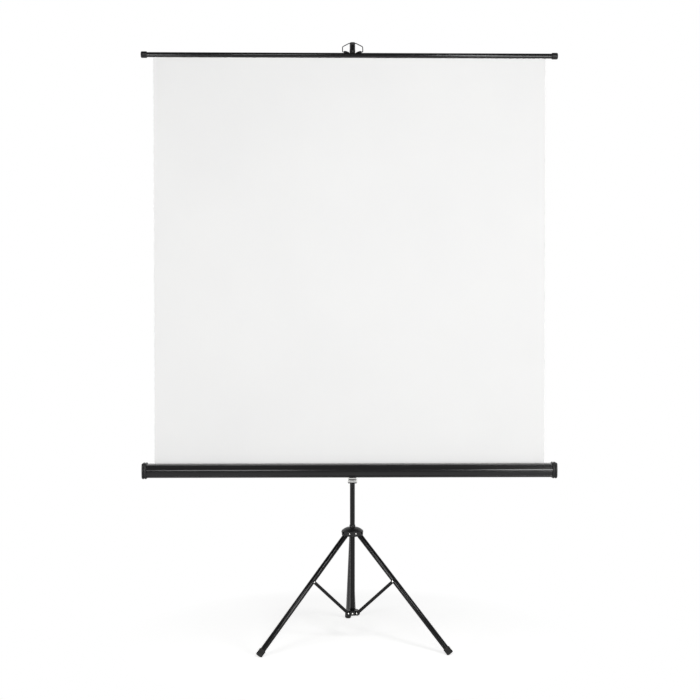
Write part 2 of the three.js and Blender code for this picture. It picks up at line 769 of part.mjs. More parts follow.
function saddleScrew(x) {
  const length = saddleThickness + 2 * gap + screwBite;
  const screw = alongY(rivet(screwRadius, length, screwHeadRadius, screwHeadHeight));
  return screw.translate(x, caseBackY + saddleThickness + 2 * gap, caseCentreZ);
}

function socketFloor() {
  return caseLength / 2 - capEndThickness + capSocketDepth - gap;
}

function rollerHalf() {
  return sheetWidth / 2 + rollerOverhang;
}

function rollerPlug(bored) {
  const inner = rollerRadius - rollerWall - gap;
  const start = rollerHalf() - plugLength;
  const seat = rollerHalf() + gap;
  const flange = seat + plugFlange;
  const core = bored ? journalRadius + gap : 0;
  const body = [[core, start], [inner, start], [inner, seat]];
  const outline = [...body, [rollerRadius, seat], [rollerRadius, flange]];
  if (bored) return turned([...outline, [core, flange], [core, start]]);
  return turned([...outline, [journalRadius, flange], [journalRadius, socketFloor()], [0, socketFloor()]]);
}

function buildRoller(parent) {
  const roller = named(parent, 'roller');
  const half = rollerHalf();
  const body = tube(rollerRadius, rollerRadius - rollerWall, -half, half);
  piece(roller, 'roller_tube', inCase(alongX(body)), 'darkSteel');
  piece(roller, 'roller_plug_left', inCase(alongX(rollerPlug(false), -1)), 'plastic');
  piece(roller, 'roller_plug_right', inCase(alongX(rollerPlug(true))), 'plastic');
  const rollInner = rollerRadius + gap;
  const roll = tube(rollInner + rollThickness, rollInner, -sheetWidth / 2, sheetWidth / 2);
  piece(roller, 'fabric_roll', inCase(alongX(roll)), 'fabric');
}

function sheet() {
  const half = sheetWidth / 2;
  const bottom = caseCentreZ + rollerRadius;
  const top = battenAxisZ - battenRadius - gap;
  const body = block(-half, half, -sheetThickness / 2, sheetThickness / 2, bottom, top);
  return body.translate(screenCentreX, sheetPlaneY, 0);
}

function buildCase(root) {
  const body = named(root, 'case');
  piece(body, 'case_shell', caseShell(), 'powderCoat');
  piece(body, 'case_cap_left', caseCap(-1), 'plastic');
  piece(body, 'case_cap_right', caseCap(1), 'plastic');
  piece(body, 'case_saddle', caseSaddle(), 'plastic');
  saddleScrewPlaces().forEach((x, i) => {
    piece(body, `saddle_screw_${i === 0 ? 'left' : 'right'}`, saddleScrew(x), 'rivetSteel');
  });
  const spindleEnd = socketFloor();
  const spindle = rod(journalRadius, spindleEnd - spindleLength, spindleEnd, smallSides);
  piece(body, 'roller_spindle', inCase(alongX(spindle)), 'rivetSteel');
  const springInner = journalRadius + gap;
  const springEnd = rollerHalf() - plugLength - gap;
  const spring = tube(springInner + springThickness, springInner, springEnd - springLength, springEnd);
  piece(body, 'roller_spring', inCase(alongX(spring)), 'darkSteel');
  piece(body, 'fabric_sheet', sheet(), 'fabric');
  buildRoller(body);
}

// Batten and bail
function bailPivot() {
  return new THREE.Vector3(0, sheetPlaneY, battenAxisZ + battenRadius + eyeletRise);
}

function bailApex() {
  const y = -hookRadius - noseReach + noseLip + wireRadius + 2 * gap;
  return new THREE.Vector3(0, y, hookTopZ - bailApexDrop);
}

function battenTube() {
  const half = battenLength / 2 - battenCapLength / 2;
  return tube(battenRadius, battenRadius - battenWall, -half, half);
}

function battenCap() {
  const end = battenLength / 2;
  const start = end - battenCapLength;
  const bore = battenRadius + gap;
  const floor = end - battenCapLength / 2 + gap;
  return turned([
    [0, floor], [bore, floor], [bore, start], [battenCapRadius - battenCapDraft, start],
    [battenCapRadius, start + battenCapLead], [battenCapRadius, end - battenCapEdge],
    [battenCapRadius - battenCapEdge, end], [0, end],
  ]);
}

function onBatten(geometry) {
  return geometry.translate(screenCentreX, sheetPlaneY, battenAxisZ);
}

// A lug on the batten: an eye for the wire's foot, and a tail that slopes down to the batten's middle
function bailEyelet(side) {
  const outer = bailHalfWidth - bailBendRadius - gap;
  const inner = outer - eyeletLength;
  const tail = inner - eyeletTailLength;
  const rise = battenRadius + eyeletRise;
  const low = battenRadius - eyeletSkirt;
  const top = rise + wireRadius + gap + eyeletWall;
  const tailTop = battenRadius + eyeletWall;
  const outline = [[tail, low], [outer, low], [outer, top], [inner, top], [tail, tailTop]];
  const shape = new THREE.Shape(outline.map(([x, z]) => new THREE.Vector2(side * x, z)));
  const body = slab(shape, -eyeletWidth / 2, eyeletWidth / 2);
  const seat = alongX(rod(battenRadius + gap, -bailHalfWidth, bailHalfWidth));
  const hole = alongX(rod(wireRadius + gap, -bailHalfWidth, bailHalfWidth, smallSides));
  return cut(body, seat, hole.translate(0, 0, rise)).translate(0, sheetPlaneY, battenAxisZ);
}

// Straight runs between the corners with each corner rounded off by a bend.
function bentWire(corners, bend) {
  const path = new THREE.CurvePath();
  let from = corners[0];
  for (let i = 1; i < corners.length - 1; i += 1) {
    const corner = corners[i];
    const enter = corner.clone().add(from.clone().sub(corner).setLength(bend));
    const leave = corner.clone().add(corners[i + 1].clone().sub(corner).setLength(bend));
    path.add(new THREE.LineCurve3(from, enter));
    path.add(new THREE.QuadraticBezierCurve3(enter, corner, leave));
    from = leave;
  }
  path.add(new THREE.LineCurve3(from, corners[corners.length - 1]));
  const section = new THREE.Shape().absarc(0, 0, wireRadius, 0, 2 * Math.PI);
  const run = { steps: wireSteps, curveSegments: wireSectionSteps, extrudePath: path };
  return new THREE.ExtrudeGeometry(section, run);
}

function bailWire(length) {
  const footEnd = bailHalfWidth - bailFootLength;
  const corners = [
    [-footEnd, 0], [-bailHalfWidth, 0], [-bailHalfWidth, bailSideHeight], [-bailTopHalf, length],
    [bailTopHalf, length], [bailHalfWidth, bailSideHeight], [bailHalfWidth, 0], [footEnd, 0],
  ];
  return bentWire(corners.map(([x, z]) => new THREE.Vector3(x, 0, z)), bailBendRadius);
}

function buildBatten(root) {
  const batten = named(root, 'batten');
  piece(batten, 'batten_tube', onBatten(alongX(battenTube())), 'powderCoat');
  piece(batten, 'batten_cap_left', onBatten(alongX(battenCap(), -1)), 'plastic');
  piece(batten, 'batten_cap_right', onBatten(alongX(battenCap())), 'plastic');
  piece(batten, 'bail_eyelet_left', bailEyelet(-1), 'darkSteel');
  piece(batten, 'bail_eyelet_right', bailEyelet(1), 'darkSteel');
  const bail = named(batten, 'bail');
  const lean = bailApex().sub(bailPivot());
  bail.position.copy(bailPivot());
  bail.rotation.x = -Math.atan2(lean.y, lean.z);
  piece(bail, 'bail_wire', bailWire(lean.length()), 'darkSteel');
}

function buildScreen() {
  const part = new THREE.Group();
  part.name = 'tripod_projection_screen';
  const layout = named(part, 'layout');
  buildColumn(layout);
  buildMast(layout);
  buildHub(layout);
  legs.forEach((leg) => {
    buildLeg(layout, leg);
    buildStay(layout, leg);
  });
  buildSlider(layout);
  buildCase(layout);
  buildBatten(layout);
  part.updateMatrixWorld(true);
  const bounds = new THREE.Box3().setFromObject(part, true);
  const middle = bounds.getCenter(new THREE.Vector3());
  layout.position.set(-middle.x, -middle.y, -bounds.min.z);
  return part;
}

export default buildScreen();
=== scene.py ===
"""Tripod projection screen, pulled up and standing open on a pale studio floor. Metres, +Z up."""

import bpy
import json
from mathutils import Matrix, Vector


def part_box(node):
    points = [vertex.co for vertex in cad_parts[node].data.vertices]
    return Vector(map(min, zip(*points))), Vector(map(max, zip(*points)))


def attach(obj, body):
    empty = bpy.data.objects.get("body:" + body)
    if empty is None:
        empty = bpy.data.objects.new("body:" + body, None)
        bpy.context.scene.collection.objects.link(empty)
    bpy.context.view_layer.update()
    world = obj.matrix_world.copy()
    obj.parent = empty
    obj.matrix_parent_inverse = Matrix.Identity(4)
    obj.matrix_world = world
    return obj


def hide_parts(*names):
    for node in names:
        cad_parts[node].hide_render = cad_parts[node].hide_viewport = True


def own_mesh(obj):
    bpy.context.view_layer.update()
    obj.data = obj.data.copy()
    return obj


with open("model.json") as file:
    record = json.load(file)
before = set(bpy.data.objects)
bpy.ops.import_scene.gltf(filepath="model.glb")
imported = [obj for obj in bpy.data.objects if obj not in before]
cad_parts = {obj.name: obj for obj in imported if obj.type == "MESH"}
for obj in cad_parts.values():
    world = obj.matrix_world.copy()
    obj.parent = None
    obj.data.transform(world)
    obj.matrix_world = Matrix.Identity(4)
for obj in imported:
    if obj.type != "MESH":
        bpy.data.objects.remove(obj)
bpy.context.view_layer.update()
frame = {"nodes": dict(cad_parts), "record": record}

import json
import math

import bmesh
import bpy
from mathutils import Matrix, Vector

# One millimetre in metres, the clearance between pieces in millimetres, and turns in radians
MM = 0.001
GAP = 0.3
FULL_TURN = 2 * math.pi
QUARTER_TURN = math.pi / 2

# Camera: where the photograph was taken from, in metres and degrees, and its angle of view
CAMERA_PLACE = (-0.0890, -5.1954, 1.2831)
CAMERA_PITCH = 88.831
CAMERA_YAW = -1.016
CAMERA_LENS = 65.28
SENSOR = 36

# Studio lamps: the place, target, width and height of each in metres, and its power in watts
SOFTBOXES = {
    "key_softbox": ((2.3, -4.0, 0.88), (0.1, -0.15, 0.85), 1.6, 1.7, 85),
    "fill_softbox": ((-3.0, -3.8, 0.88), (-0.1, -0.15, 0.85), 1.2, 1.7, 74),
    "left_top_softbox": ((-0.83, -3.4, 3.1), (-0.5, -0.15, 1.0), 0.95, 0.7, 19),
    "right_top_softbox": ((1.45, -3.4, 2.95), (0.6, -0.15, 1.0), 0.75, 0.7, 31),
}

# Studio room: levels of light, of which 1 is white, and its bounds as parts of a direction of length 1
AMBIENT_LEVEL = 0.12
ROOM_LEVEL = 0.3
ROOM_END = -0.35
BACKDROP_START = 0.15
CEILING_LEVEL = 0.2
WALL_END = 0.55
CEILING_START = 0.85

# Studio floor: the level of light that it adds for the camera, and its lengths in metres
FLOOR_LIFT = 0.67
FLOOR_HALF = 8
FLOOR_CELLS = 8
FLOOR_DROP = 0.2 * MM
FADE_START = 0.45
FADE_END = 0.95
SWEEP_END = -3.8
SWEEP_START = -2.4

# Cloth: radians of the wave texture per unit, and the drawn spacing of its threads in millimetres
WAVE_RATE = 20
THREADS_DRAWN = 6

# Making of the skins, in millimetres, degrees and shares of a side or an edge
WELD = 0.002
EASE_SHARE = 0.48
FLAT_TURN = 1
SHARP_TURN = 32
SPECK_SHARE = 1 / 30
AXIS_DISC = 0.5
LOOP_STEPS = 48

# Sheet, in metres, and roller, in millimetres
SHEET_GAUGE = 0.4 * MM
SHEET_EDGE_CURL = 1.2 * MM
SHEET_CURL_POWER = 8
SHEET_SWELL = 0.5 * MM
SHEET_WAVES = 5
SHEET_TUCK = 0.1 * MM
SHEET_COLUMNS = 62
SHEET_ROWS = 64
ROLL_TURNS = 2
ROLL_TURN_STEPS = 40
ROLL_SLACK = 1.1
ROLLER_RADIUS = 16
ROLLER_WALL = 1
SPRING_WIRE = 1.5
SPRING_TURNS = 56
SPRING_TURN_STEPS = 14

# Column, mast, clamp and knobs, in millimetres
COLUMN_RADIUS = 10
COLUMN_WALL = 1.2
SLIDE_BORE = 10.3
MAST_RADIUS = 8.3
MAST_WALL = 1
MAST_BORE = 8.8
HOOK_BORE = 8.6
HOOK_RADIUS = 11
HOOK_FOOT_RADIUS = 11.6
HOOK_ROOF = 5
HOOK_FOOT_DROP = 30
HOOK_NECK_DROP = 24
HOOK_DOME_DROP = 4.5
NOSE_ROOT = 9.9
CLAMP_RADIUS = 17
CLAMP_BORE = 10.3
CLAMP_SEAT = 22.3
CLAMP_SHOULDER = 3
CLAMP_GROOVES = (7, 15)
SLEEVE_RADIUS = 15.7
KNOB_RADIUS = 15
KNOB_DEPTH = 12
KNOB_LOBES = 5
KNOB_LOBE_DEPTH = 2.5
KNOB_HUB_RADIUS = 8
KNOB_STEPS = 80
STUD_RADIUS = 3

# Tripod, in millimetres and degrees
LEG_PLANS = {"left": 211.4, "right": 331.4, "rear": 91.4}
LEG_SPREAD = 42.66
LEG_RADIUS = 10.8
LEG_WALL = 1.2
LEG_OFFSET = 6
LEG_TOP_DROP = 17
LEG_END_HEIGHT = 5.2
KNUCKLE_WIDTH = 17
FOOT_RADIUS = 13.6
FOOT_LENGTH = 28
FOOT_SOLE = 8
FOOT_DISC = 1
FOOT_GRIPS = (9.5, 14.5, 19.5)
SOLE_HEIGHT = 0.05
HUB_RADIUS = 43.5
HUB_PIVOT_OUT = 31.6
HUB_PIVOT_HEIGHT = 445
HUB_NECK = 11.9
HUB_NECK_EDGE = 0.7
HUB_NECK_CHAMFER = 0.5
HUB_CORE = 13.5
HUB_WALL = 39.6
HUB_SLOT_HALF = 9.1
HUB_MOUTH = 16.55
HUB_ROOF = 20
HUB_DOME = 14
HUB_COLUMNS = 30
HUB_SLOT_COLUMNS = 6
HUB_DOME_STEPS = 7
PIN_RADIUS = 2.75
PIN_BALL = 3.3
PIN_BALL_STEPS = 12
COLLAR_PIVOT_OUT = 27
COLLAR_PIVOT_HEIGHT = 122
COLLAR_FACE = 26.3
COLLAR_RIVET_LENGTH = 15.6
STAY_SIDES = {"left": 1, "right": -1, "rear": -1}
STAY_TILT = 47.95066
STAY_LENGTH = 214.575
STAY_WIDTH = 12.8
STAY_GAUGE = 3
STAY_SEAT = 11.1
STAY_END_STEPS = 7
STAY_TIP_SQUARE = 0.05
STAY_PIN_LENGTH = 10
GROOVE_END = 14
GROOVE_RUN = 5
GROOVE_HALF = 1.7
GROOVE_DEPTH = 0.9
GROOVE_FLANK_SHARE = 0.08
RIVET_RADIUS = 2.4
RIVET_HEAD_RADIUS = 3.4
RIVET_HEAD_HEIGHT = 1.8
RIVET_LAND_SHARE = 0.15
RIVET_CHAMFER = 0.3
RIVET_UNDERCUT = 0.2
RIVET_SIDES = 24

# Case and bracket, in millimetres
CASE_WALL = 1.3
CASE_LENGTHS = 10
CASE_TOP = 26.5
CASE_BACK = 25
CASE_LIP = 25.2
BEAD_FACE = 22.75
BEAD_SWELL = 0.9
BEAD_TOP = 18
BEAD_HEIGHT = 3.2
BEAD_STEPS = 6
SOCKET_RADIUS = 3.8
SOCKET_DEPTH = 3.5
SOCKET_FLOOR = 12.3
SCREW_STEPS = 32
SCREW_RADIUS = 2
SCREW_HEAD_RADIUS = 4.5
SCREW_HEAD_HEIGHT = 2.4
RECESS_CORE = 0.75
RECESS_REACH = 1.25
BRACKET_WALL = 2.5
BRACKET_BEND = 3.4
RIM_HEIGHT = 4.2
SLOT_RISE = 14.3
SLOT_HEIGHT = 3.1
SLOT_HALF = 14.6
BOLT_HALF = 4.5
STRAP_SHARE = 0.4

# Batten and bail, in millimetres
BATTEN_RADIUS = 10
BATTEN_WALL = 1.2
BATTEN_CAP_RADIUS = 13
BAIL_RISE = 13.2
BAIL_WIRE = 1.75
BAIL_HALF = 40
BAIL_FOOT = 15
BAIL_SIDE = 30
BAIL_TOP_HALF = 12
BAIL_BEND = 5


def hex_colour(code):
    """An sRGB hex colour as linear red, green, blue and alpha."""
    parts = [int(code[i:i + 2], 16) / 255 for i in (1, 3, 5)]
    linear = [c / 12.92 if c <= 0.04045 else ((c + 0.055) / 1.055) ** 2.4 for c in parts]
    return (*linear, 1)


def grain(size):
    """A pattern's scale, in cells per metre, from the size of one cell in millimetres."""
    return 1 / (size * MM)


def add(tree, kind, inputs=(), ramp=(), **settings):
    """Adds one shader node with its settings and the hex colours of its ramp, if it has one, and fills its
    inputs by value or by link."""
    made = tree.nodes.new(kind)
    for name, value in settings.items():
        setattr(made, name, value)
    for stop, code in enumerate(ramp):
        made.color_ramp.elements[stop].color = hex_colour(code)
    for name, value in dict(inputs).items():
        if isinstance(value, bpy.types.NodeSocket):
            tree.links.new(value, made.inputs[name])
        else:
            made.inputs[name].default_value = value
    return made


def start_finish(name):
    """A new named material, its empty node tree, and the place on the object that its patterns follow."""
    material = bpy.data.materials.new(name)
    material.use_nodes = True
    tree = material.node_tree
    tree.nodes.clear()
    return material, tree, add(tree, "ShaderNodeTexCoord").outputs["Object"]


def close_finish(tree, look):
    """Ends a material's tree with its surface and output."""
    surface = add(tree, "ShaderNodeBsdfPrincipled", look)
    add(tree, "ShaderNodeOutputMaterial", {"Surface": surface.outputs["BSDF"]})


def black_powder_coat():
    """Powder-coated steel: sprayed on dry and baked, so it keeps a fine orange peel and a satin gloss."""
    material, tree, spot = start_finish("black_powder_coated_steel")
    peel = add(tree, "ShaderNodeTexNoise", {"Vector": spot, "Scale": grain(1.6), "Detail": 2}).outputs["Fac"]
    patch = add(tree, "ShaderNodeTexNoise", {"Vector": spot, "Scale": grain(70), "Detail": 4}).outputs["Fac"]
    tint = add(tree, "ShaderNodeValToRGB", {"Fac": patch}, ramp=("#09090a", "#0f0f10"))
    gloss = add(tree, "ShaderNodeMapRange", {"Value": patch, "To Min": 0.15, "To Max": 0.21})
    bump = add(tree, "ShaderNodeBump", {"Height": peel, "Strength": 0.1, "Distance": 0.1 * MM})
    close_finish(tree, {
        "Base Color": tint.outputs["Color"], "Roughness": gloss.outputs["Result"],
        "IOR": 1.5, "Specular IOR Level": 0.25, "Normal": bump.outputs["Normal"],
    })
    return material


def black_case_enamel():
    """Stove enamel on a rolled steel case: even satin black, with faint draw lines along its length."""
    material, tree, spot = start_finish("black_stove_enamelled_steel")
    along = add(tree, "ShaderNodeMapping", {"Vector": spot, "Scale": (0.02, 1, 1)}).outputs["Vector"]
    lines = add(tree, "ShaderNodeTexNoise", {
        "Vector": along, "Scale": grain(2.5), "Detail": 3,
    }).outputs["Fac"]
    patch = add(tree, "ShaderNodeTexNoise", {"Vector": spot, "Scale": grain(120), "Detail": 4})
    tint = add(tree, "ShaderNodeValToRGB", {"Fac": patch.outputs["Fac"]}, ramp=("#0e0e0f", "#141415"))
    gloss = add(tree, "ShaderNodeMapRange", {"Value": lines, "To Min": 0.15, "To Max": 0.2})
    bump = add(tree, "ShaderNodeBump", {"Height": lines, "Strength": 0.04, "Distance": 0.1 * MM})
    close_finish(tree, {
        "Base Color": tint.outputs["Color"], "Roughness": gloss.outputs["Result"],
        "IOR": 1.5, "Specular IOR Level": 0.38, "Normal": bump.outputs["Normal"],
    })
    return material


def black_moulded_plastic():
    """Injection-moulded ABS from a spark-eroded mould: a dull black with a fine, even grain."""
    material, tree, spot = start_finish("black_moulded_abs")
    spark = add(tree, "ShaderNodeTexVoronoi", {"Vector": spot, "Scale": grain(0.9)}).outputs["Distance"]
    flow = add(tree, "ShaderNodeTexNoise", {"Vector": spot, "Scale": grain(30), "Detail": 3}).outputs["Fac"]
    tint = add(tree, "ShaderNodeValToRGB", {"Fac": flow}, ramp=("#0e0e0f", "#151516"))
    gloss = add(tree, "ShaderNodeMapRange", {"Value": flow, "To Min": 0.36, "To Max": 0.46})
    bump = add(tree, "ShaderNodeBump", {"Height": spark, "Strength": 0.25, "Distance": 0.15 * MM})
    close_finish(tree, {
        "Base Color": tint.outputs["Color"], "Roughness": gloss.outputs["Result"],
        "IOR": 1.53, "Specular IOR Level": 0.3, "Normal": bump.outputs["Normal"],
    })
    return material


def black_rubber():
    """Moulded rubber: matt, with a soft bloom, and grey floor dust on its lowest millimetres."""
    material, tree, spot = start_finish("black_moulded_rubber")
    bloom = add(tree, "ShaderNodeTexNoise", {"Vector": spot, "Scale": grain(9), "Detail": 5}).outputs["Fac"]
    height = add(tree, "ShaderNodeSeparateXYZ", {"Vector": spot}).outputs["Z"]
    dust = add(tree, "ShaderNodeMapRange", {
        "Value": height, "From Min": 0, "From Max": 7 * MM, "To Min": 0.5, "To Max": 0,
    })
    speck = add(tree, "ShaderNodeMath", {0: bloom, 1: dust.outputs["Result"]}, operation="ADD")
    tint = add(tree, "ShaderNodeValToRGB", {"Fac": speck.outputs["Value"]}, ramp=("#151515", "#343332"))
    bump = add(tree, "ShaderNodeBump", {"Height": bloom, "Strength": 0.2, "Distance": 0.2 * MM})
    close_finish(tree, {
        "Base Color": tint.outputs["Color"], "Roughness": 0.78, "IOR": 1.52,
        "Specular IOR Level": 0.3, "Normal": bump.outputs["Normal"],
    })
    return material


def zinc_plate():
    """Zinc-plated sheet steel: bright and a little cloudy, with the sheet's rolling lines under the zinc."""
    material, tree, spot = start_finish("zinc_plated_steel")
    across = add(tree, "ShaderNodeMapping", {"Vector": spot, "Scale": (1, 1, 0.06)}).outputs["Vector"]
    lines = add(tree, "ShaderNodeTexNoise", {
        "Vector": across, "Scale": grain(0.8), "Detail": 3,
    }).outputs["Fac"]
    cloud = add(tree, "ShaderNodeTexNoise", {"Vector": spot, "Scale": grain(8), "Detail": 3})
    tint = add(tree, "ShaderNodeValToRGB", {"Fac": cloud.outputs["Fac"]}, ramp=("#c4c6c7", "#dcdad6"))
    gloss = add(tree, "ShaderNodeMapRange", {"Value": lines, "To Min": 0.26, "To Max": 0.42})
    bump = add(tree, "ShaderNodeBump", {"Height": lines, "Strength": 0.1, "Distance": 0.05 * MM})
    close_finish(tree, {
        "Base Color": tint.outputs["Color"], "Metallic": 1, "Roughness": gloss.outputs["Result"],
        "Normal": bump.outputs["Normal"],
    })
    return material


def nickel_plate():
    """Nickel-plated rivets and screws: bright, with fine tumbling marks."""
    material, tree, spot = start_finish("nickel_plated_steel")
    marks = add(tree, "ShaderNodeTexNoise", {"Vector": spot, "Scale": grain(0.7), "Detail": 4}).outputs["Fac"]
    tint = add(tree, "ShaderNodeValToRGB", {"Fac": marks}, ramp=("#dfdeda", "#f3f2ee"))
    gloss = add(tree, "ShaderNodeMapRange", {"Value": marks, "To Min": 0.2, "To Max": 0.34})
    close_finish(tree, {
        "Base Color": tint.outputs["Color"], "Metallic": 1, "Roughness": gloss.outputs["Result"],
    })
    return material


def black_oxide_steel():
    """Black-oxide spring steel: dark and a little oily, with a mottled, slightly uneven gloss."""
    material, tree, spot = start_finish("black_oxide_spring_steel")
    marks = add(tree, "ShaderNodeTexNoise", {"Vector": spot, "Scale": grain(1.2), "Detail": 4}).outputs["Fac"]
    tint = add(tree, "ShaderNodeValToRGB", {"Fac": marks}, ramp=("#161617", "#262628"))
    gloss = add(tree, "ShaderNodeMapRange", {"Value": marks, "To Min": 0.32, "To Max": 0.48})
    close_finish(tree, {
        "Base Color": tint.outputs["Color"], "Metallic": 1, "Roughness": gloss.outputs["Result"],
    })
    return material


def natural_nylon():
    """Natural nylon: a waxy off-white with a faint cloudiness."""
    material, tree, spot = start_finish("natural_nylon")
    cloud = add(tree, "ShaderNodeTexNoise", {"Vector": spot, "Scale": grain(6), "Detail": 3})
    tint = add(tree, "ShaderNodeValToRGB", {"Fac": cloud.outputs["Fac"]}, ramp=("#d3d0c6", "#e3e1d8"))
    close_finish(tree, {"Base Color": tint.outputs["Color"], "Roughness": 0.5, "IOR": 1.53})
    return material


def coated_cloth(name, low, high, roughness):
    """Vinyl-coated glass cloth: matt, with the woven threads just showing through the coat.
    The threads are 0.5 mm apart, and are drawn further apart so that they can show."""
    material, tree, spot = start_finish(name)
    pitch = FULL_TURN / WAVE_RATE * grain(THREADS_DRAWN)
    threads = {"Vector": spot, "Scale": pitch, "Distortion": 4, "Detail": 2}
    warp = add(tree, "ShaderNodeTexWave", threads, bands_direction="X").outputs["Fac"]
    weft = add(tree, "ShaderNodeTexWave", threads, bands_direction="Z").outputs["Fac"]
    weave = add(tree, "ShaderNodeMath", {0: warp, 1: weft}, operation="MULTIPLY").outputs["Value"]
    cloud = add(tree, "ShaderNodeTexNoise", {"Vector": spot, "Scale": grain(400), "Detail": 2})
    shade = add(tree, "ShaderNodeMix", {"Factor": 0.2, "A": cloud.outputs["Fac"], "B": weave})
    tint = add(tree, "ShaderNodeValToRGB", {"Fac": shade.outputs["Result"]}, ramp=(low, high))
    bump = add(tree, "ShaderNodeBump", {"Height": weave, "Strength": 0.06, "Distance": 0.1 * MM})
    close_finish(tree, {
        "Base Color": tint.outputs["Color"], "Roughness": roughness, "IOR": 1.45,
        "Normal": bump.outputs["Normal"],
    })
    return material


POWDER_COAT = black_powder_coat()
ENAMEL = black_case_enamel()
PLASTIC = black_moulded_plastic()
RUBBER = black_rubber()
ZINC = zinc_plate()
NICKEL = nickel_plate()
OXIDE = black_oxide_steel()
NYLON = natural_nylon()
SCREEN_FRONT = coated_cloth("white_coated_glass_cloth", "#e9e9e9", "#f0f0ef", 0.85)
SCREEN_BACK = coated_cloth("black_coated_glass_cloth", "#171718", "#1f1f20", 0.7)


def body_of(node):
    """The body that carries a CAD node."""
    bodies = frame["record"]["behaviour"]["bodies"]
    return next(body for body, nodes in bodies.items() if node in nodes)


def middle_of(node):
    low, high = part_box(node)
    return (low + high) / 2


def add_trim(name, beside, skin, *finishes, crease=40):
    """A piece from a built skin, smooth but for its creases, that moves with the node it lies beside."""
    mesh = bpy.data.meshes.new(name)
    skin.to_mesh(mesh)
    skin.free()
    mesh.shade_smooth()
    mesh.set_sharp_from_angle(angle=math.radians(crease))
    for finish in finishes:
        mesh.materials.append(finish)
    piece = bpy.data.objects.new(name, mesh)
    bpy.context.scene.collection.objects.link(piece)
    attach(piece, body_of(beside))
    return piece


def add_piece(node, skin, *finishes, crease=40):
    """Stands a built skin in the place of a CAD node."""
    piece = add_trim(node + "_dressed", node, skin, *finishes, crease=crease)
    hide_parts(node)
    return piece


def angles(steps):
    """Evenly spaced turns, once round."""
    return [FULL_TURN * i / steps for i in range(steps)]


def eased(corners, reach, closed=True, steps=3):
    """A line with its corners rounded off, each over no more than that reach along its two sides."""
    points = [Vector(corner) for corner in corners]
    count = len(points)
    rounded = []
    for i, here in enumerate(points):
        if not closed and i in (0, count - 1):
            rounded.append(here)
            continue
        before = points[i - 1] - here
        after = points[(i + 1) % count] - here
        near = min(reach, EASE_SHARE * before.length, EASE_SHARE * after.length)
        start = here + before.normalized() * near
        end = here + after.normalized() * near
        for k in range(steps + 1):
            t = k / steps
            rounded.append(start * (1 - t) ** 2 + here * (2 * t * (1 - t)) + end * t ** 2)
    return rounded


def loft(loops, ring=False):
    """A skin over loops of equal count: closed round as a ring, or with a flat end on each end loop."""
    skin = bmesh.new()
    rows = [[skin.verts.new(point) for point in loop] for loop in loops]
    pairs = list(zip(rows, rows[1:]))
    if ring:
        pairs.append((rows[-1], rows[0]))
    else:
        skin.faces.new(rows[0])
        skin.faces.new(rows[-1])
    count = len(rows[0])
    for near, far in pairs:
        for i in range(count):
            j = (i + 1) % count
            skin.faces.new((near[i], near[j], far[j], far[i]))
    bmesh.ops.recalc_face_normals(skin, faces=skin.faces)
    return skin


def circle(radius, height, sides):
    """A level round loop about the Z axis."""
    return [Vector((radius * math.cos(a), radius * math.sin(a), height)) for a in angles(sides)]


def waved(reach, share, height, sides):
    """A level loop about the Z axis, at a share of the reach that a function gives for each turn."""
    loop = []
    for a in angles(sides):
        radius = share * reach(a)
        loop.append(Vector((radius * math.cos(a), radius * math.sin(a), height)))
    return loop


def squared(half_x, half_y, power, centre, height):
    """A level loop between an ellipse (power 2) and a rounded rectangle (a higher power)."""
    loop = []
    for a in angles(LOOP_STEPS):
        c = math.copysign(abs(math.cos(a)) ** (2 / power), math.cos(a))
        s = math.copysign(abs(math.sin(a)) ** (2 / power), math.sin(a))
        loop.append(Vector((centre + half_x * c, half_y * s, height)) * MM)
    return loop


def turned(profile, place, ring=False, sides=48):
    """A solid of revolution about its own Z, from [radius, height] in millimetres, set in its place."""
    skin = loft([circle(r * MM, z * MM, sides) for r, z in profile], ring)
    skin.transform(place)
    return skin


def tube(outer, wall, bottom, top, place):
    """A round tube with eased ends, in millimetres."""
    inner = outer - wall
    corners = [(inner, bottom), (outer, bottom), (outer, top), (inner, top)]
    return turned(eased(corners, reach=0.25, steps=2), place, ring=True)


def swept(path, radius, sides=14):
    """A round wire along a line of places."""
    loops = []
    across = None
    for i, here in enumerate(path):
        along = (path[min(i + 1, len(path) - 1)] - path[max(i - 1, 0)]).normalized()
        across = along.orthogonal() if across is None else across - along * across.dot(along)
        across.normalize()
        over = along.cross(across)
        loops.append([here + (across * math.cos(a) + over * math.sin(a)) * radius for a in angles(sides)])
    return loft(loops)


def outset(outline, distance):
    """Moves every side of a convex outline, counter-clockwise in two directions, outward by a distance."""
    count = len(outline)
    lines = []
    for i, here in enumerate(outline):
        side = Vector(outline[(i + 1) % count]) - Vector(here)
        normal = Vector((side.y, -side.x)).normalized()
        lines.append((normal, normal.dot(Vector(here)) + distance))
    moved = []
    for i, (normal, level) in enumerate(lines):
        other, other_level = lines[i - 1]
        scale = other.x * normal.y - other.y * normal.x
        across = (other_level * normal.y - level * other.y) / scale
        moved.append((across, (other.x * level - normal.x * other_level) / scale))
    return moved


def inner_line(outer, wall):
    """The line at a wall's thickness inside an open outer line."""
    inner = []
    for i, here in enumerate(outer):
        before = here - outer[i - 1] if i else outer[1] - here
        after = outer[i + 1] - here if i + 1 < len(outer) else before
        along = (before.normalized() + after.normalized()).normalized()
        inner.append(here + Vector((-along.y, along.x)) * wall)
    return inner


def dome(radius, rim, height, steps=8):
    """The profile of a dome, from its rim to just short of its top."""
    turns = [QUARTER_TURN * k / steps for k in range(steps)]
    return [(radius * math.cos(a), rim + height * math.sin(a)) for a in turns]


def grooved(radius, starts, depth, flank, floor):
    """Grooves in the profile of a turned piece: from each start down a flank, along a floor and up again."""
    line = []
    for start in starts:
        line += [(radius, start), (radius - depth, start + flank)]
        line += [(radius - depth, start + flank + floor), (radius, start + 2 * flank + floor)]
    return line


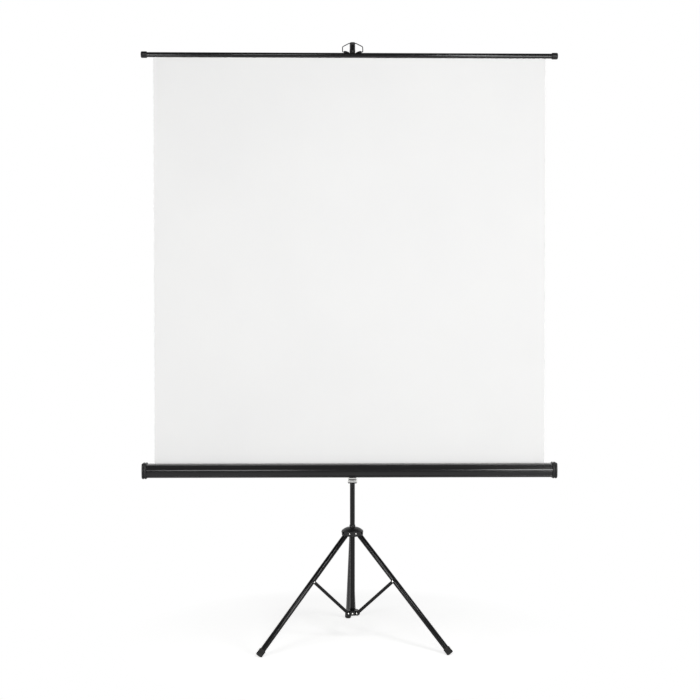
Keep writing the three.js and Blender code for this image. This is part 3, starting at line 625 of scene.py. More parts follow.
def along_x(place, side=1):
    """A frame at a place, whose local Z runs along X, to the right or with side -1 to the left."""
    return Matrix.Translation(place) @ Matrix.Rotation(side * QUARTER_TURN, 4, "Y")


def along_y(place, side=1):
    """A frame at a place, whose local Z runs along Y, away from the viewer or with side -1 toward them."""
    return Matrix.Translation(place) @ Matrix.Rotation(-side * QUARTER_TURN, 4, "X")


def rounded_off(skin, edge, beyond=0):
    """Rounds every sharp edge of a skin, but for those within a distance of the Z axis, in the skin's own
    units, and clears the specks that this leaves."""
    sharp = [e for e in skin.edges if e.is_manifold and e.calc_face_angle() > math.radians(SHARP_TURN)]
    sharp = [e for e in sharp if min(vert.co.xy.length for vert in e.verts) >= beyond]
    bmesh.ops.bevel(
        skin, geom=sharp, offset=edge, offset_type="OFFSET", segments=2, profile=0.5,
        affect="EDGES", clamp_overlap=True,
    )
    bmesh.ops.dissolve_degenerate(skin, dist=edge * SPECK_SHARE, edges=skin.edges)
    return skin


def softened(node, edge):
    """A copy of a solid with its flat faces made whole and its sharp edges rounded, by millimetres."""
    skin = bmesh.new()
    skin.from_mesh(frame["nodes"][node].data)
    bmesh.ops.remove_doubles(skin, verts=skin.verts, dist=WELD * MM)
    bmesh.ops.dissolve_limit(skin, angle_limit=math.radians(FLAT_TURN), verts=skin.verts, edges=skin.edges)
    return rounded_off(skin, edge * MM)


def eased_piece(node, finish, edge):
    """A piece with its solid's own shape, and its edges rounded."""
    add_piece(node, softened(node, edge), finish)


def cell_skin(place, filled, around=None):
    """The outside of the filled cells of a grid in three directions, with its corners placed by a function.
    The grid closes on itself after a count of cells around, if there is one."""
    skin = bmesh.new()
    corners = {}

    def moved(cell, axis, by):
        there = list(cell)
        there[axis] += by
        if around:
            there[0] %= around
        return tuple(there)

    def corner(key):
        if key not in corners:
            corners[key] = skin.verts.new(place(*key))
        return corners[key]

    for cell in sorted(filled):
        for axis in range(3):
            for step in (0, 1):
                if moved(cell, axis, 2 * step - 1) in filled:
                    continue
                start = moved(cell, axis, step)
                over = moved(start, (axis + 1) % 3, 1)
                square = [start, over, moved(over, (axis + 2) % 3, 1), moved(start, (axis + 2) % 3, 1)]
                skin.faces.new([corner(key) for key in square])
    bmesh.ops.recalc_face_normals(skin, faces=skin.faces)
    return skin


COLUMN = middle_of("column_tube")
COLUMN.z = 0
CASE = middle_of("case_shell")
BATTEN = middle_of("batten_tube")


def in_plan(leg, out, height):
    """A place at a leg's side of the column: local X runs outward along the leg's plan line."""
    turn = Matrix.Rotation(math.radians(LEG_PLANS[leg]), 4, "Z")
    return Matrix.Translation(COLUMN) @ turn @ Matrix.Translation((out * MM, 0, height * MM))


def on_leg(leg):
    """A leg's own frame: its tube's axis is local Z, and its pivot is at height 0, beside the axis."""
    lean = Matrix.Rotation(math.radians(-LEG_SPREAD), 4, "Y")
    beside = Matrix.Translation((-LEG_OFFSET * MM, 0, 0))
    return in_plan(leg, HUB_PIVOT_OUT, HUB_PIVOT_HEIGHT) @ lean @ beside


def on_stay(leg):
    """A stay's own frame: it runs up local Z from its pivot on the collar."""
    tilt = Matrix.Rotation(math.radians(STAY_TILT), 4, "Y")
    return in_plan(leg, COLLAR_PIVOT_OUT, COLLAR_PIVOT_HEIGHT) @ tilt


def upright_tube(node, outer, wall):
    """A powder-coated tube on the column's axis, as long as its solid."""
    low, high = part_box(node)
    add_piece(node, tube(outer, wall, low.z / MM, high.z / MM, Matrix.Translation(COLUMN)), POWDER_COAT)


def level_tube(node, outer, wall, finish):
    """A tube from left to right, as long as its solid."""
    low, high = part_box(node)
    half = (high.x - low.x) / 2 / MM
    add_piece(node, tube(outer, wall, -half, half, along_x((low + high) / 2)), finish)


def rivet(shank_length):
    """A rivet's profile: its domed head stands on height 0 and its shank runs down from there."""
    land = RIVET_LAND_SHARE * RIVET_HEAD_HEIGHT
    chamfer = [(RIVET_RADIUS - RIVET_CHAMFER, -shank_length), (RIVET_RADIUS, RIVET_CHAMFER - shank_length)]
    seat = [(RIVET_RADIUS, 0), (RIVET_HEAD_RADIUS - RIVET_UNDERCUT, 0)]
    return [*chamfer, *seat, *dome(RIVET_HEAD_RADIUS, land, RIVET_HEAD_HEIGHT - land)]


def column_pieces():
    upright_tube("column_tube", COLUMN_RADIUS, COLUMN_WALL)
    upright_tube("mast_tube", MAST_RADIUS, MAST_WALL)
    eased_piece("foot_collar", PLASTIC, edge=0.6)
    front = COLUMN + Vector((0, -COLLAR_FACE, COLLAR_PIVOT_HEIGHT)) * MM
    collar_rivet = turned(rivet(COLLAR_RIVET_LENGTH), along_y(front, -1), sides=RIVET_SIDES)
    add_piece("collar_rivet", collar_rivet, NICKEL)
    eased_piece("stop_ring", OXIDE, edge=0.4)
    mast_clamp()
    lobed_knob("mast_knob", MAST_BORE, CLAMP_RADIUS + GAP)
    mast_hook()
    mast_nose()
    eased_piece("mast_bush", PLASTIC, edge=0.3)


def mast_hook():
    """The moulded head of the mast: a cap over the tube, a little wider at its foot."""
    low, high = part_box("mast_hook")
    bottom = low.z / MM
    top = high.z / MM
    roof = top - HOOK_ROOF
    corners = [
        (AXIS_DISC, roof), (HOOK_BORE, roof), (HOOK_BORE, bottom), (HOOK_FOOT_RADIUS, bottom),
        (HOOK_FOOT_RADIUS, top - HOOK_FOOT_DROP), (HOOK_RADIUS, top - HOOK_NECK_DROP),
        *dome(HOOK_RADIUS, top - HOOK_DOME_DROP, HOOK_DOME_DROP - 0.1), (AXIS_DISC, top),
    ]
    cap = turned(eased(corners, reach=1, closed=False), Matrix.Translation(COLUMN))
    add_piece("mast_hook", cap, PLASTIC)


def mast_nose():
    """The nose on the mast's head, with a notch for the bail's wire behind its lip: one outline, as
    (depth, height) from the top of the head, drawn in a little at both sides."""
    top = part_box("mast_hook")[1].z / MM
    side = [(8.5, 0.8), (8.2, 0.25), (7.6, 0), (4, 0)]
    slices = [(-across, inset) for across, inset in side] + [(0, 0)] + side[::-1]
    notch = [(-26.5, -3.4), (-26.5, -7.6), (-22.3, -7.6), (-22.3, -2.4), (-20.6, -1.8)]
    loops = []
    for across, inset in slices:
        root = -math.sqrt(NOSE_ROOT ** 2 - across ** 2)
        lip = [
            (-24, inset - 15.5), (inset - 31.8, inset - 14), (inset - 32.3, -4.6), (-30.8, -3 - inset),
            (-27.6, -2.8 - inset),
        ]
        behind = [(depth, height - inset) for depth, height in notch]
        line = eased([*lip, *behind, (root, -1.8 - inset), (root, inset - 32)], reach=0.8)
        loops.append([Vector((across, p.x, top + p.y)) * MM for p in line])
    nose = loft(loops)
    nose.transform(Matrix.Translation(COLUMN))
    add_trim("mast_nose", "mast_hook", nose, PLASTIC)


def mast_clamp():
    """The clamp at the column's top, with two finger grooves round it."""
    low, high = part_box("mast_clamp")
    bottom = low.z / MM
    top = high.z / MM
    joint = bottom + CLAMP_SEAT
    starts = [bottom + rise for rise in CLAMP_GROOVES]
    corners = [
        (CLAMP_BORE, bottom), (CLAMP_RADIUS - 1.5, bottom), (CLAMP_RADIUS, bottom + 2),
        *grooved(CLAMP_RADIUS, starts, depth=1.2, flank=1, floor=2),
        (CLAMP_RADIUS, top - CLAMP_SHOULDER), (CLAMP_RADIUS - CLAMP_SHOULDER, top),
        (MAST_BORE, top), (MAST_BORE, joint), (CLAMP_BORE, joint),
    ]
    ring = turned(eased(corners, reach=0.8), Matrix.Translation(COLUMN), ring=True, sides=64)
    add_piece("mast_clamp", ring, PLASTIC)


def lobed_knob(node, tip, seat):
    """A five-lobed knob on its stud, pointing away from the viewer, with a dished face and a hub behind it.
    The grip's radius is a share of the lobes' reach."""
    low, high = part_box(node)
    back = seat + 0.1
    face = seat + KNOB_DEPTH
    stud = [(STUD_RADIUS - 0.5, tip), (STUD_RADIUS, tip + 0.5), (STUD_RADIUS, back)]
    hub = [(KNOB_HUB_RADIUS - 0.4, back), (KNOB_HUB_RADIUS, back + 0.4), (KNOB_HUB_RADIUS, seat + 1.8)]
    grip = [
        (0.82, seat + 2), (0.95, seat + 2.6), (1, seat + 4), (1, face - 3), (0.97, face - 1.4),
        (0.9, face - 0.4), (0.8, face), (0.68, face),
    ]
    dish = [(7.4, face - 0.5), (6.4, face - 1.2), (5.6, face - 1.2), (5, face - 0.6), (3.6, face - 0.3)]

    def lobes(turn):
        return KNOB_RADIUS - KNOB_LOBE_DEPTH * (0.5 - 0.5 * math.cos(KNOB_LOBES * turn))

    loops = [circle(radius, height, KNOB_STEPS) for radius, height in stud + hub]
    loops += [waved(lobes, share, height, KNOB_STEPS) for share, height in grip]
    loops += [circle(radius, height, KNOB_STEPS) for radius, height in dish]
    skin = loft(loops)
    pivot = COLUMN + Vector((0, 0, (low.z + high.z) / 2))
    skin.transform(along_y(pivot) @ Matrix.Scale(MM, 4))
    add_piece(node, skin, PLASTIC)


# The crown's grid: rings from the bore outward, levels from the rim upward, and the rim's outer profile
HUB_STEP = (HUB_WALL - HUB_CORE) / HUB_DOME_STEPS
HUB_DOME_RINGS = [HUB_CORE + HUB_STEP * i for i in range(HUB_DOME_STEPS + 1)]
HUB_RINGS = [SLIDE_BORE, HUB_NECK, *HUB_DOME_RINGS, HUB_RADIUS]
HUB_LEVELS = [0, 0.7, 2, 3.8, HUB_MOUTH, HUB_ROOF]
HUB_RIM = [
    (40.6, 0), (41.8, 0.7), (42.5, 2), (42.8, 3.8), (43.3, HUB_MOUTH), (HUB_RADIUS, 18.4),
    (HUB_RADIUS, HUB_ROOF),
]
CORE_RING = HUB_RINGS.index(HUB_CORE)
WALL_RING = len(HUB_RINGS) - 2
CREST = len(HUB_LEVELS)


def hub_angle(column, radius, straight):
    """The turn of a line of the crown's grid: evenly spaced, or along the straight sides of the leg slots."""
    sector, here = divmod(column, HUB_COLUMNS)
    third = FULL_TURN / 3
    pitch = third / HUB_COLUMNS
    turn = (here - HUB_SLOT_COLUMNS / 2) * pitch
    if straight:
        side = math.asin(HUB_SLOT_HALF / radius)
        share = (here - HUB_SLOT_COLUMNS) / (HUB_COLUMNS - HUB_SLOT_COLUMNS)
        turn = side + share * (third - 2 * side)
        if here <= HUB_SLOT_COLUMNS:
            turn = math.asin(HUB_SLOT_HALF * (2 * here / HUB_SLOT_COLUMNS - 1) / radius)
    return math.radians(LEG_PLANS["rear"]) + sector * third + turn


def hub_corner(column, ring, level, rise):
    """The place of one corner of the crown's grid, in millimetres, on a crown of that height."""
    radius = HUB_RINGS[ring]
    angle = hub_angle(column, radius, ring >= CORE_RING and level < CREST)
    if ring > WALL_RING:
        radius, height = HUB_RIM[level]
    elif level < CREST:
        height = HUB_LEVELS[level]
    elif level == CREST:
        height = HUB_ROOF + HUB_DOME * (1 - ((radius - HUB_NECK) / (HUB_RADIUS - HUB_NECK)) ** 2)
    else:
        height = rise - HUB_NECK_EDGE * (CREST + 2 - level)
        radius -= HUB_NECK_CHAMFER * ring * (level - CREST - 1)
    return radius * math.cos(angle), radius * math.sin(angle), height


def hub_cells():
    """The filled cells of the crown's grid: all but the leg slots, with two more levels at the neck."""
    cells = set()
    for column in range(3 * HUB_COLUMNS):
        for ring in range(WALL_RING + 1):
            start = 0
            if column % HUB_COLUMNS < HUB_SLOT_COLUMNS and ring >= CORE_RING:
                start = HUB_LEVELS.index(HUB_MOUTH if ring == WALL_RING else HUB_ROOF)
            stop = CREST + 2 if ring == 0 else CREST
            cells |= {(column, ring, level) for level in range(start, stop)}
    return cells


def hub_crown():
    """The moulded crown: a shallow dome and a neck over a rim, with a slot from below for each leg."""
    low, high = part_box("hub_crown")
    rise = (high.z - low.z) / MM

    def place(column, ring, level):
        return hub_corner(column, ring, level, rise)

    skin = cell_skin(place, hub_cells(), around=3 * HUB_COLUMNS)
    rounded_off(skin, 0.6, beyond=HUB_WALL - 1)
    skin.transform(Matrix.Translation(COLUMN + Vector((0, 0, low.z))) @ Matrix.Scale(MM, 4))
    add_piece("hub_crown", skin, PLASTIC)


def hub_pin(leg):
    """A leg's pivot pin: a rod across the crown's slot with a ball at each end."""
    half = math.sqrt(HUB_RADIUS ** 2 - HUB_PIVOT_OUT ** 2)
    start = -math.acos(PIN_RADIUS / PIN_BALL)
    turns = [start + (QUARTER_TURN - start) * k / PIN_BALL_STEPS for k in range(PIN_BALL_STEPS)]
    end = [(PIN_BALL * math.cos(a), half + PIN_BALL * math.sin(a)) for a in turns]
    profile = [(r, -z) for r, z in reversed(end)] + end
    place = in_plan(leg, HUB_PIVOT_OUT, HUB_PIVOT_HEIGHT) @ Matrix.Rotation(-QUARTER_TURN, 4, "X")
    add_piece("hub_pin_" + leg, turned(profile, place, sides=RIVET_SIDES), NICKEL)


def hub_pieces():
    hub_crown()
    for leg in LEG_PLANS:
        hub_pin(leg)


def leg_knuckle(leg):
    """The moulded eye in a leg's top: a round plug and collar that flatten toward the pivot pin. Each row
    gives a loop's half widths, power, centre and height."""
    plug = LEG_RADIUS - LEG_WALL - GAP
    half = KNUCKLE_WIDTH / 2
    seat = GAP - LEG_TOP_DROP
    rows = [
        (plug - 0.8, plug - 0.8, 2, 0, -41), (plug, plug, 2, 0, -40), (plug, plug, 2, 0, seat),
        (LEG_RADIUS - 0.4, LEG_RADIUS - 0.4, 2, 0, seat), (LEG_RADIUS, LEG_RADIUS, 2, 0, seat + 0.6),
        (LEG_RADIUS, 9.2, 2.6, 0, -13), (9.9, half, 4, 0.1, -9.5), (9.4, half, 5, 0.9, -6),
        (8.6, half, 5, 2.6, -2.5), (7.4, half, 5, 4.9, 1.2), (6.2, half - 0.1, 5, 5.6, 3.6),
        (4.6, half - 0.4, 5, 5.9, 5.4), (2.6, half - 1, 4, 6, 6.6), (0.9, half - 2.4, 4, 6, 7),
    ]
    skin = loft([squared(*row) for row in rows])
    skin.transform(on_leg(leg))
    add_piece(f"leg_{leg}_knuckle", skin, PLASTIC)


def leg_foot(leg, reach):
    """A rubber foot with three grip grooves, worn flat where it stands."""
    end = -reach
    mouth = LEG_RADIUS + GAP
    starts = [end + rise for rise in FOOT_GRIPS]
    corners = [
        (FOOT_DISC, end), (FOOT_RADIUS - 2.2, end), (FOOT_RADIUS, end + 2.6),
        *grooved(FOOT_RADIUS, starts, depth=0.9, flank=0.8, floor=1),
        (FOOT_RADIUS - 0.3, end + FOOT_LENGTH - 1.5), (FOOT_RADIUS - 1.6, end + FOOT_LENGTH),
        (mouth, end + FOOT_LENGTH), (mouth, end + FOOT_SOLE), (FOOT_DISC, end + FOOT_SOLE),
    ]
    skin = turned(eased(corners, reach=0.9, closed=False), on_leg(leg))
    cut = bmesh.ops.bisect_plane(
        skin, geom=[*skin.verts, *skin.edges, *skin.faces], plane_co=(0, 0, SOLE_HEIGHT * MM),
        plane_no=(0, 0, 1), clear_inner=True,
    )
    rim = [edge for edge in cut["geom_cut"] if isinstance(edge, bmesh.types.BMEdge)]
    bmesh.ops.holes_fill(skin, edges=rim)
    bmesh.ops.recalc_face_normals(skin, faces=skin.faces)
    add_piece(f"leg_{leg}_foot", skin, RUBBER)


def leg_pieces():
    lean = math.radians(LEG_SPREAD)
    reach = (HUB_PIVOT_HEIGHT - LEG_OFFSET * math.sin(lean) - LEG_END_HEIGHT) / math.cos(lean)
    bottom = FOOT_SOLE + GAP - reach
    for leg in LEG_PLANS:
        leg_knuckle(leg)
        leg_tube = tube(LEG_RADIUS, LEG_WALL, bottom, -LEG_TOP_DROP, on_leg(leg))
        add_piece(f"leg_{leg}_tube", leg_tube, POWDER_COAT)
        leg_foot(leg, reach)


def stay_section(wide, depth):
    """The section of a stay: a flat bar, with a groove of that depth down the middle of its outer face."""
    lip = GROOVE_HALF * wide / (STAY_WIDTH / 2)
    flank = lip + GROOVE_FLANK_SHARE * wide
    low = STAY_SEAT
    high = STAY_SEAT + STAY_GAUGE
    outline = [
        (-wide, low), (wide, low), (wide, high), (flank, high), (lip, high - depth), (-lip, high - depth),
        (-flank, high), (-wide, high),
    ]
    return eased(outline, reach=0.5, steps=2)


def stay_bar(leg):
    """A flat bar with round ends and a groove pressed along its outer face, for stiffness."""
    half = STAY_WIDTH / 2
    ends = [half * math.cos(QUARTER_TURN * k / STAY_END_STEPS) for k in range(STAY_END_STEPS)]
    near = [(-z, z) for z in ends]
    far = [(STAY_LENGTH + z, z) for z in reversed(ends)]
    stop = STAY_LENGTH - GROOVE_END
    groove = [(GROOVE_END, 0), (GROOVE_END + GROOVE_RUN, 0), (stop - GROOVE_RUN, 0), (stop, 0)]
    loops = []
    for height, past in [*near, *groove, *far]:
        wide = math.sqrt(max(half ** 2 - past ** 2, STAY_TIP_SQUARE))
        depth = GROOVE_DEPTH if GROOVE_END < height < stop else 0
        section = stay_section(wide, depth)
        loops.append([Vector((p.x, STAY_SIDES[leg] * p.y, height)) * MM for p in section])
    skin = loft(loops)
    skin.transform(on_stay(leg))
    add_piece(f"stay_{leg}_bar", skin, POWDER_COAT, crease=50)


def stay_pieces():
    head = rivet(STAY_GAUGE + GAP)
    pin = rivet(STAY_PIN_LENGTH)
    for leg in LEG_PLANS:
        side = STAY_SIDES[leg]
        seat = side * (STAY_SEAT + STAY_GAUGE + GAP) * MM
        turn = Matrix.Rotation(-side * QUARTER_TURN, 4, "X")
        stay_bar(leg)
        upper = on_stay(leg) @ Matrix.Translation((0, seat, STAY_LENGTH * MM)) @ turn
        add_piece(f"stay_{leg}_rivet", turned(head, upper, sides=RIVET_SIDES), NICKEL)
        lower = in_plan(leg, COLLAR_PIVOT_OUT, COLLAR_PIVOT_HEIGHT) @ Matrix.Translation((0, seat, 0)) @ turn
        add_piece(f"stay_pin_{leg}", turned(pin, lower, sides=RIVET_SIDES), NICKEL)


def slider_pieces():
    eased_piece("slider_sleeve", PLASTIC, edge=0.6)
    plated_bracket()
    slider_rim()
    eased_piece("swivel_bolt", NICKEL, edge=0.3)
    eased_piece("swivel_washer", NYLON, edge=0.3)
    lobed_knob("height_knob", SLIDE_BORE, SLEEVE_RADIUS + GAP)


def plated_bracket():
    """The plated channel round the sleeve, folded from sheet: a long slot across its front below the case,
    and a square hole for the swivel bolt."""
    low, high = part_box("slider_bracket")
    half = (high.x - low.x) / 2 / MM
    front = (low.y - COLUMN.y) / MM
    back = (high.y - COLUMN.y) / MM
    bottom = low.z / MM
    bolt = CASE.z / MM
    corners = [(-half, back), (-half, front), (-SLOT_HALF, front)]
    left = [*eased(corners, BRACKET_BEND, closed=False, steps=4), Vector((-BOLT_HALF, front))]
    outer = left + [Vector((-p.x, p.y)) for p in reversed(left)]
    lines = (outer, inner_line(outer, BRACKET_WALL))
    levels = [
        bottom + RIM_HEIGHT + GAP, bottom + SLOT_RISE, bottom + SLOT_RISE + SLOT_HEIGHT, bolt - BOLT_HALF,
        bolt + BOLT_HALF, high.z / MM,
    ]
    middle = len(left) - 1
    cells = {(i, 0, k) for i in range(len(outer) - 1) for k in range(len(levels) - 1)}
    windows = {(middle - 1, 0, 1), (middle, 0, 1), (middle + 1, 0, 1), (middle, 0, 3)}
    skin = cell_skin(lambda i, j, k: (*lines[j][i], levels[k]), cells - windows)
    skin.transform(Matrix.Translation(COLUMN) @ Matrix.Scale(MM, 4))
    add_piece("slider_bracket", rounded_off(skin, 0.5 * MM), ZINC)


def slider_rim():
    """The sleeve's moulded rim, rounded below, that the plated bracket stands on."""
    low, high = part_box("slider_bracket")
    half = (high.x - low.x) / 2 / MM
    bottom = low.z / MM
    hole = SLEEVE_RADIUS + 0.1
    steps = [(-2.4, 0), (-1.2, 0.5), (-0.4, 1.4), (0, 2.6), (0, RIM_HEIGHT - 0.3), (-0.3, RIM_HEIGHT)]
    outside = [squared(half + out, half + out, 6, 0, bottom + rise) for out, rise in steps]
    inside = [squared(hole, hole, 2, 0, bottom + rise) for rise in (RIM_HEIGHT, 0)]
    skin = loft([*outside, *inside], ring=True)
    skin.transform(Matrix.Translation(COLUMN))
    add_trim("slider_rim", "slider_sleeve", skin, PLASTIC)


def case_section():
    """The rolled section of the case, as (depth, height) from its middle: a top that slopes to the front,
    a rib along the front ridge, a groove under the rib, a bead along the lower edge, and a slot on top for
    the sheet."""
    shares = [k / BEAD_STEPS for k in range(BEAD_STEPS + 1)]
    swell = [BEAD_SWELL * math.sin(math.pi * share) for share in shares]
    bead = [(-BEAD_FACE - out, -BEAD_TOP - BEAD_HEIGHT * share) for out, share in zip(swell, shares)]
    top = [(15.5, CASE_LIP), (15.5, CASE_TOP), (-6, CASE_TOP), (-21.4, 23.2)]
    rib = [(-24.1, 5.7), (-25.3, 2.7), (-25.5, 1.9), (-25.1, 1.2), (-24.1, 0.7)]
    groove = [(-24.1, -0.6), (-24.75, -1.2)]
    under = [(-22.9, -17.4), *bead, (-22.2, -21.9), (-17.5, -CASE_TOP)]
    back = [(22.5, -CASE_TOP), (CASE_BACK, -24), (CASE_BACK, 24), (22.5, CASE_TOP)]
    slot = [(21.5, CASE_TOP), (21.5, CASE_LIP)]
    return eased([*top, *rib, *groove, *under, *back, *slot], reach=1.2, closed=False)


def case_shell():
    """The rolled case, open along the slot for the sheet."""
    low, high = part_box("case_shell")
    outer = case_section()
    section = outer + list(reversed(inner_line(outer, CASE_WALL)))
    loops = []
    for k in range(CASE_LENGTHS + 1):
        x = low.x + (high.x - low.x) * k / CASE_LENGTHS
        loops.append([Vector((x, CASE.y + p.x * MM, CASE.z + p.y * MM)) for p in section])
    add_piece("case_shell", loft(loops), ENAMEL, crease=35)


def case_cap(name, side):
    """A moulded end cap: a flange and a domed end plate with a groove between them, over a pocket for the
    case. Each step gives how far along the cap it lies, and how far outside the case."""
    low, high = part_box("case_cap_" + name)
    start = (high.x if side < 0 else low.x) / MM
    outline = [
        (-21, CASE_TOP), (-25, 2.4), (-22.5, -21.5), (-17.5, -CASE_TOP), (22.5, -CASE_TOP), (CASE_BACK, -24),
        (CASE_BACK, 24), (22.5, CASE_TOP),
    ]
    pocket = [(SOCKET_FLOOR, 0.4), (0.5, 0.4)]
    flange = [(0, 0.9), (0, 3.6), (0.25, 4.2), (0.9, 4.5), (5.2, 4.5), (5.8, 4.2), (6, 3.7)]
    groove = [(6.2, 1.9), (6.7, 1.5), (9, 1.5), (9.4, 1.9)]
    plate = [
        (9.6, 3.7), (9.8, 4.2), (10.4, 4.5), (14.4, 4.4), (16.2, 3.8), (17.4, 2.7), (18.2, 1), (18.6, -1.5),
    ]
    panel = [(18.6, -4), (18.4, -4.5), (17.8, -4.8), (17.6, -5.4)]
    steps = [*pocket, *flange, *groove, *plate, *panel]
    rims = [[Vector((x, *p)) for p in eased(outset(outline, out), reach=3)] for x, out in steps]
    floor = [Vector((SOCKET_FLOOR, *(Vector(p[1:]).normalized() * SOCKET_RADIUS))) for p in rims[0]]
    socket = [point + Vector((SOCKET_DEPTH, 0, 0)) for point in floor]
    loops = []
    for loop in [socket, floor, *rims]:
        places = [Vector(((start + side * p.x) * MM, CASE.y + p.y * MM, CASE.z + p.z * MM)) for p in loop]
        loops.append(places)
    add_piece("case_cap_" + name, loft(loops), PLASTIC)


def case_saddle():
    """The plate and boss on the back of the case, with a thin strap from it round the case's lower edge."""
    skin = softened("case_saddle", 0.8)
    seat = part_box("case_shell")[0].z - GAP * MM
    for vert in skin.verts:
        if vert.co.z < seat:
            vert.co.z = seat - (seat - vert.co.z) * STRAP_SHARE
    add_piece("case_saddle", skin, PLASTIC)


def cross_screw(node):
    """A pan-head screw with a cross recess, its head away from the viewer."""
    low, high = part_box(node)
    tip = SCREW_HEAD_HEIGHT - (high.y - low.y) / MM
    rim = SCREW_HEAD_RADIUS
    shank = [(SCREW_RADIUS - 0.6, tip), (SCREW_RADIUS, tip + 0.6), (SCREW_RADIUS, 0)]
    head = [(rim - 0.2, 0), (rim, 0.3), (rim - 0.2, 1.1), (rim - 0.8, 1.8), (rim - 1.6, 2.25)]
    land = [(rim - 2.2, SCREW_HEAD_HEIGHT)]
    recess = [(1, SCREW_HEAD_HEIGHT), (0.8, 1.3), (0.4, 1)]

    def arms(turn):
        return RECESS_CORE + RECESS_REACH * max(0, math.cos(4 * turn)) ** 2

    loops = [circle(radius, height, SCREW_STEPS) for radius, height in shank + head + land]
    loops += [waved(arms, share, height, SCREW_STEPS) for share, height in recess]
    skin = loft(loops)
    middle = (low + high) / 2
    place = (middle.x, high.y - SCREW_HEAD_HEIGHT * MM, middle.z)
    skin.transform(along_y(place) @ Matrix.Scale(MM, 4))
    add_piece(node, skin, NICKEL)


def roller_spring():
    """A close-wound torsion spring round the spindle."""
    low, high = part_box("roller_spring")
    middle = (low + high) / 2
    wire = SPRING_WIRE * MM
    coil = (high.z - low.z) / 2 - wire
    length = high.x - low.x - 2 * wire
    count = SPRING_TURNS * SPRING_TURN_STEPS
    path = []
    for i in range(count + 1):
        a = FULL_TURN * i / SPRING_TURN_STEPS
        along = low.x + wire + length * i / count
        path.append(Vector((along, middle.y + coil * math.cos(a), middle.z + coil * math.sin(a))))
    add_piece("roller_spring", swept(path, wire, sides=8), OXIDE)


def fabric_roll():
    """The turns of cloth that stay on the roller: one strip wound as a spiral."""
    low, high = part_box("fabric_roll")
    middle = (low + high) / 2
    outer = (high.z - low.z) / 2 - SHEET_GAUGE / 2
    inner = outer - ROLL_TURNS * ROLL_SLACK * SHEET_GAUGE
    count = ROLL_TURNS * ROLL_TURN_STEPS
    faces = {1: [], -1: []}
    for i in range(count + 1):
        a = FULL_TURN * i / ROLL_TURN_STEPS
        for face, line in faces.items():
            r = inner + (outer - inner) * i / count + face * SHEET_GAUGE / 2
            line.append(Vector((middle.y + r * math.cos(a), middle.z + r * math.sin(a))))
    section = faces[1] + list(reversed(faces[-1]))
    loops = [[Vector((x, *p)) for p in section] for x in (low.x, middle.x, high.x)]
    add_piece("fabric_roll", loft(loops), SCREEN_FRONT)


def case_pieces():
    case_shell()
    for name, side in (("left", -1), ("right", 1)):
        case_cap(name, side)
        cross_screw("saddle_screw_" + name)
        eased_piece("roller_plug_" + name, PLASTIC, edge=0.3)
    case_saddle()
    level_tube("roller_tube", ROLLER_RADIUS, ROLLER_WALL, OXIDE)
    eased_piece("roller_spindle", NICKEL, edge=0.4)
    roller_spring()
    fabric_roll()


def batten_cap(name, side):
    """A moulded cap on the batten's end, slightly swollen, with a domed end face."""
    low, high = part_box("batten_cap_" + name)
    length = (high.x - low.x) / MM
    end = (high.x - BATTEN.x if side > 0 else BATTEN.x - low.x) / MM
    start = end - length
    floor = end - length / 2 + GAP
    bore = BATTEN_RADIUS + GAP
    swell = BATTEN_CAP_RADIUS
    corners = [
        (AXIS_DISC, floor), (bore, floor), (bore, start), (swell - 1, start), (swell - 0.1, start + 1.6),
        (swell, end - 5), (swell - 0.6, end - 2.2), (swell - 2.4, end - 0.7), (swell - 6, end - 0.1),
        (AXIS_DISC, end),
    ]
    skin = turned(eased(corners, reach=0.9, closed=False), along_x(BATTEN, side))
    add_piece("batten_cap_" + name, skin, PLASTIC)


def bail_wire():
    """The bail: one bent wire, from the foot in one lug over the hook to the foot in the other."""
    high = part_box("bail_wire")[1]
    pivot = Vector((COLUMN.x, BATTEN.y, BATTEN.z + BAIL_RISE * MM))
    tip = (high.z - pivot.z) / MM - BAIL_WIRE
    back = (high.y - pivot.y) / MM - BAIL_WIRE
    length = math.hypot(tip, back)
    foot = BAIL_HALF - BAIL_FOOT
    right = [(BAIL_TOP_HALF, length), (BAIL_HALF, BAIL_SIDE), (BAIL_HALF, 0), (foot, 0)]
    corners = [(-x, z) for x, z in reversed(right)] + right
    path = eased([(x * MM, 0, z * MM) for x, z in corners], BAIL_BEND * MM, closed=False, steps=8)
    skin = swept(path, BAIL_WIRE * MM)
    lean = Matrix.Rotation(-math.atan2(back, tip), 4, "X")
    skin.transform(Matrix.Translation(pivot) @ lean)
    add_piece("bail_wire", skin, OXIDE)


def batten_pieces():
    level_tube("batten_tube", BATTEN_RADIUS, BATTEN_WALL, ENAMEL)
    for name, side in (("left", -1), ("right", 1)):
        batten_cap(name, side)
        eased_piece("bail_eyelet_" + name, OXIDE, edge=0.5)
    bail_wire()


def sheet_face(low, high, offset):
    """One face of the sheet as rows of places: taut, with a slight swell and its free edges curling back."""
    middle = (low + high) / 2
    half = (high.x - low.x) / 2
    rows = []
    for r in range(SHEET_ROWS + 1):
        up = r / SHEET_ROWS
        free = math.sin(math.pi * up)
        row = []
        for c in range(SHEET_COLUMNS + 1):
            across = 2 * c / SHEET_COLUMNS - 1
            curl = SHEET_EDGE_CURL * free * abs(across) ** SHEET_CURL_POWER
            swell = SHEET_SWELL * free * math.cos(SHEET_WAVES * math.pi * across)
            depth = middle.y + curl + swell + offset
            row.append(Vector((middle.x + half * across, depth, low.z + (high.z - low.z) * up)))
        rows.append(row)
    return rows


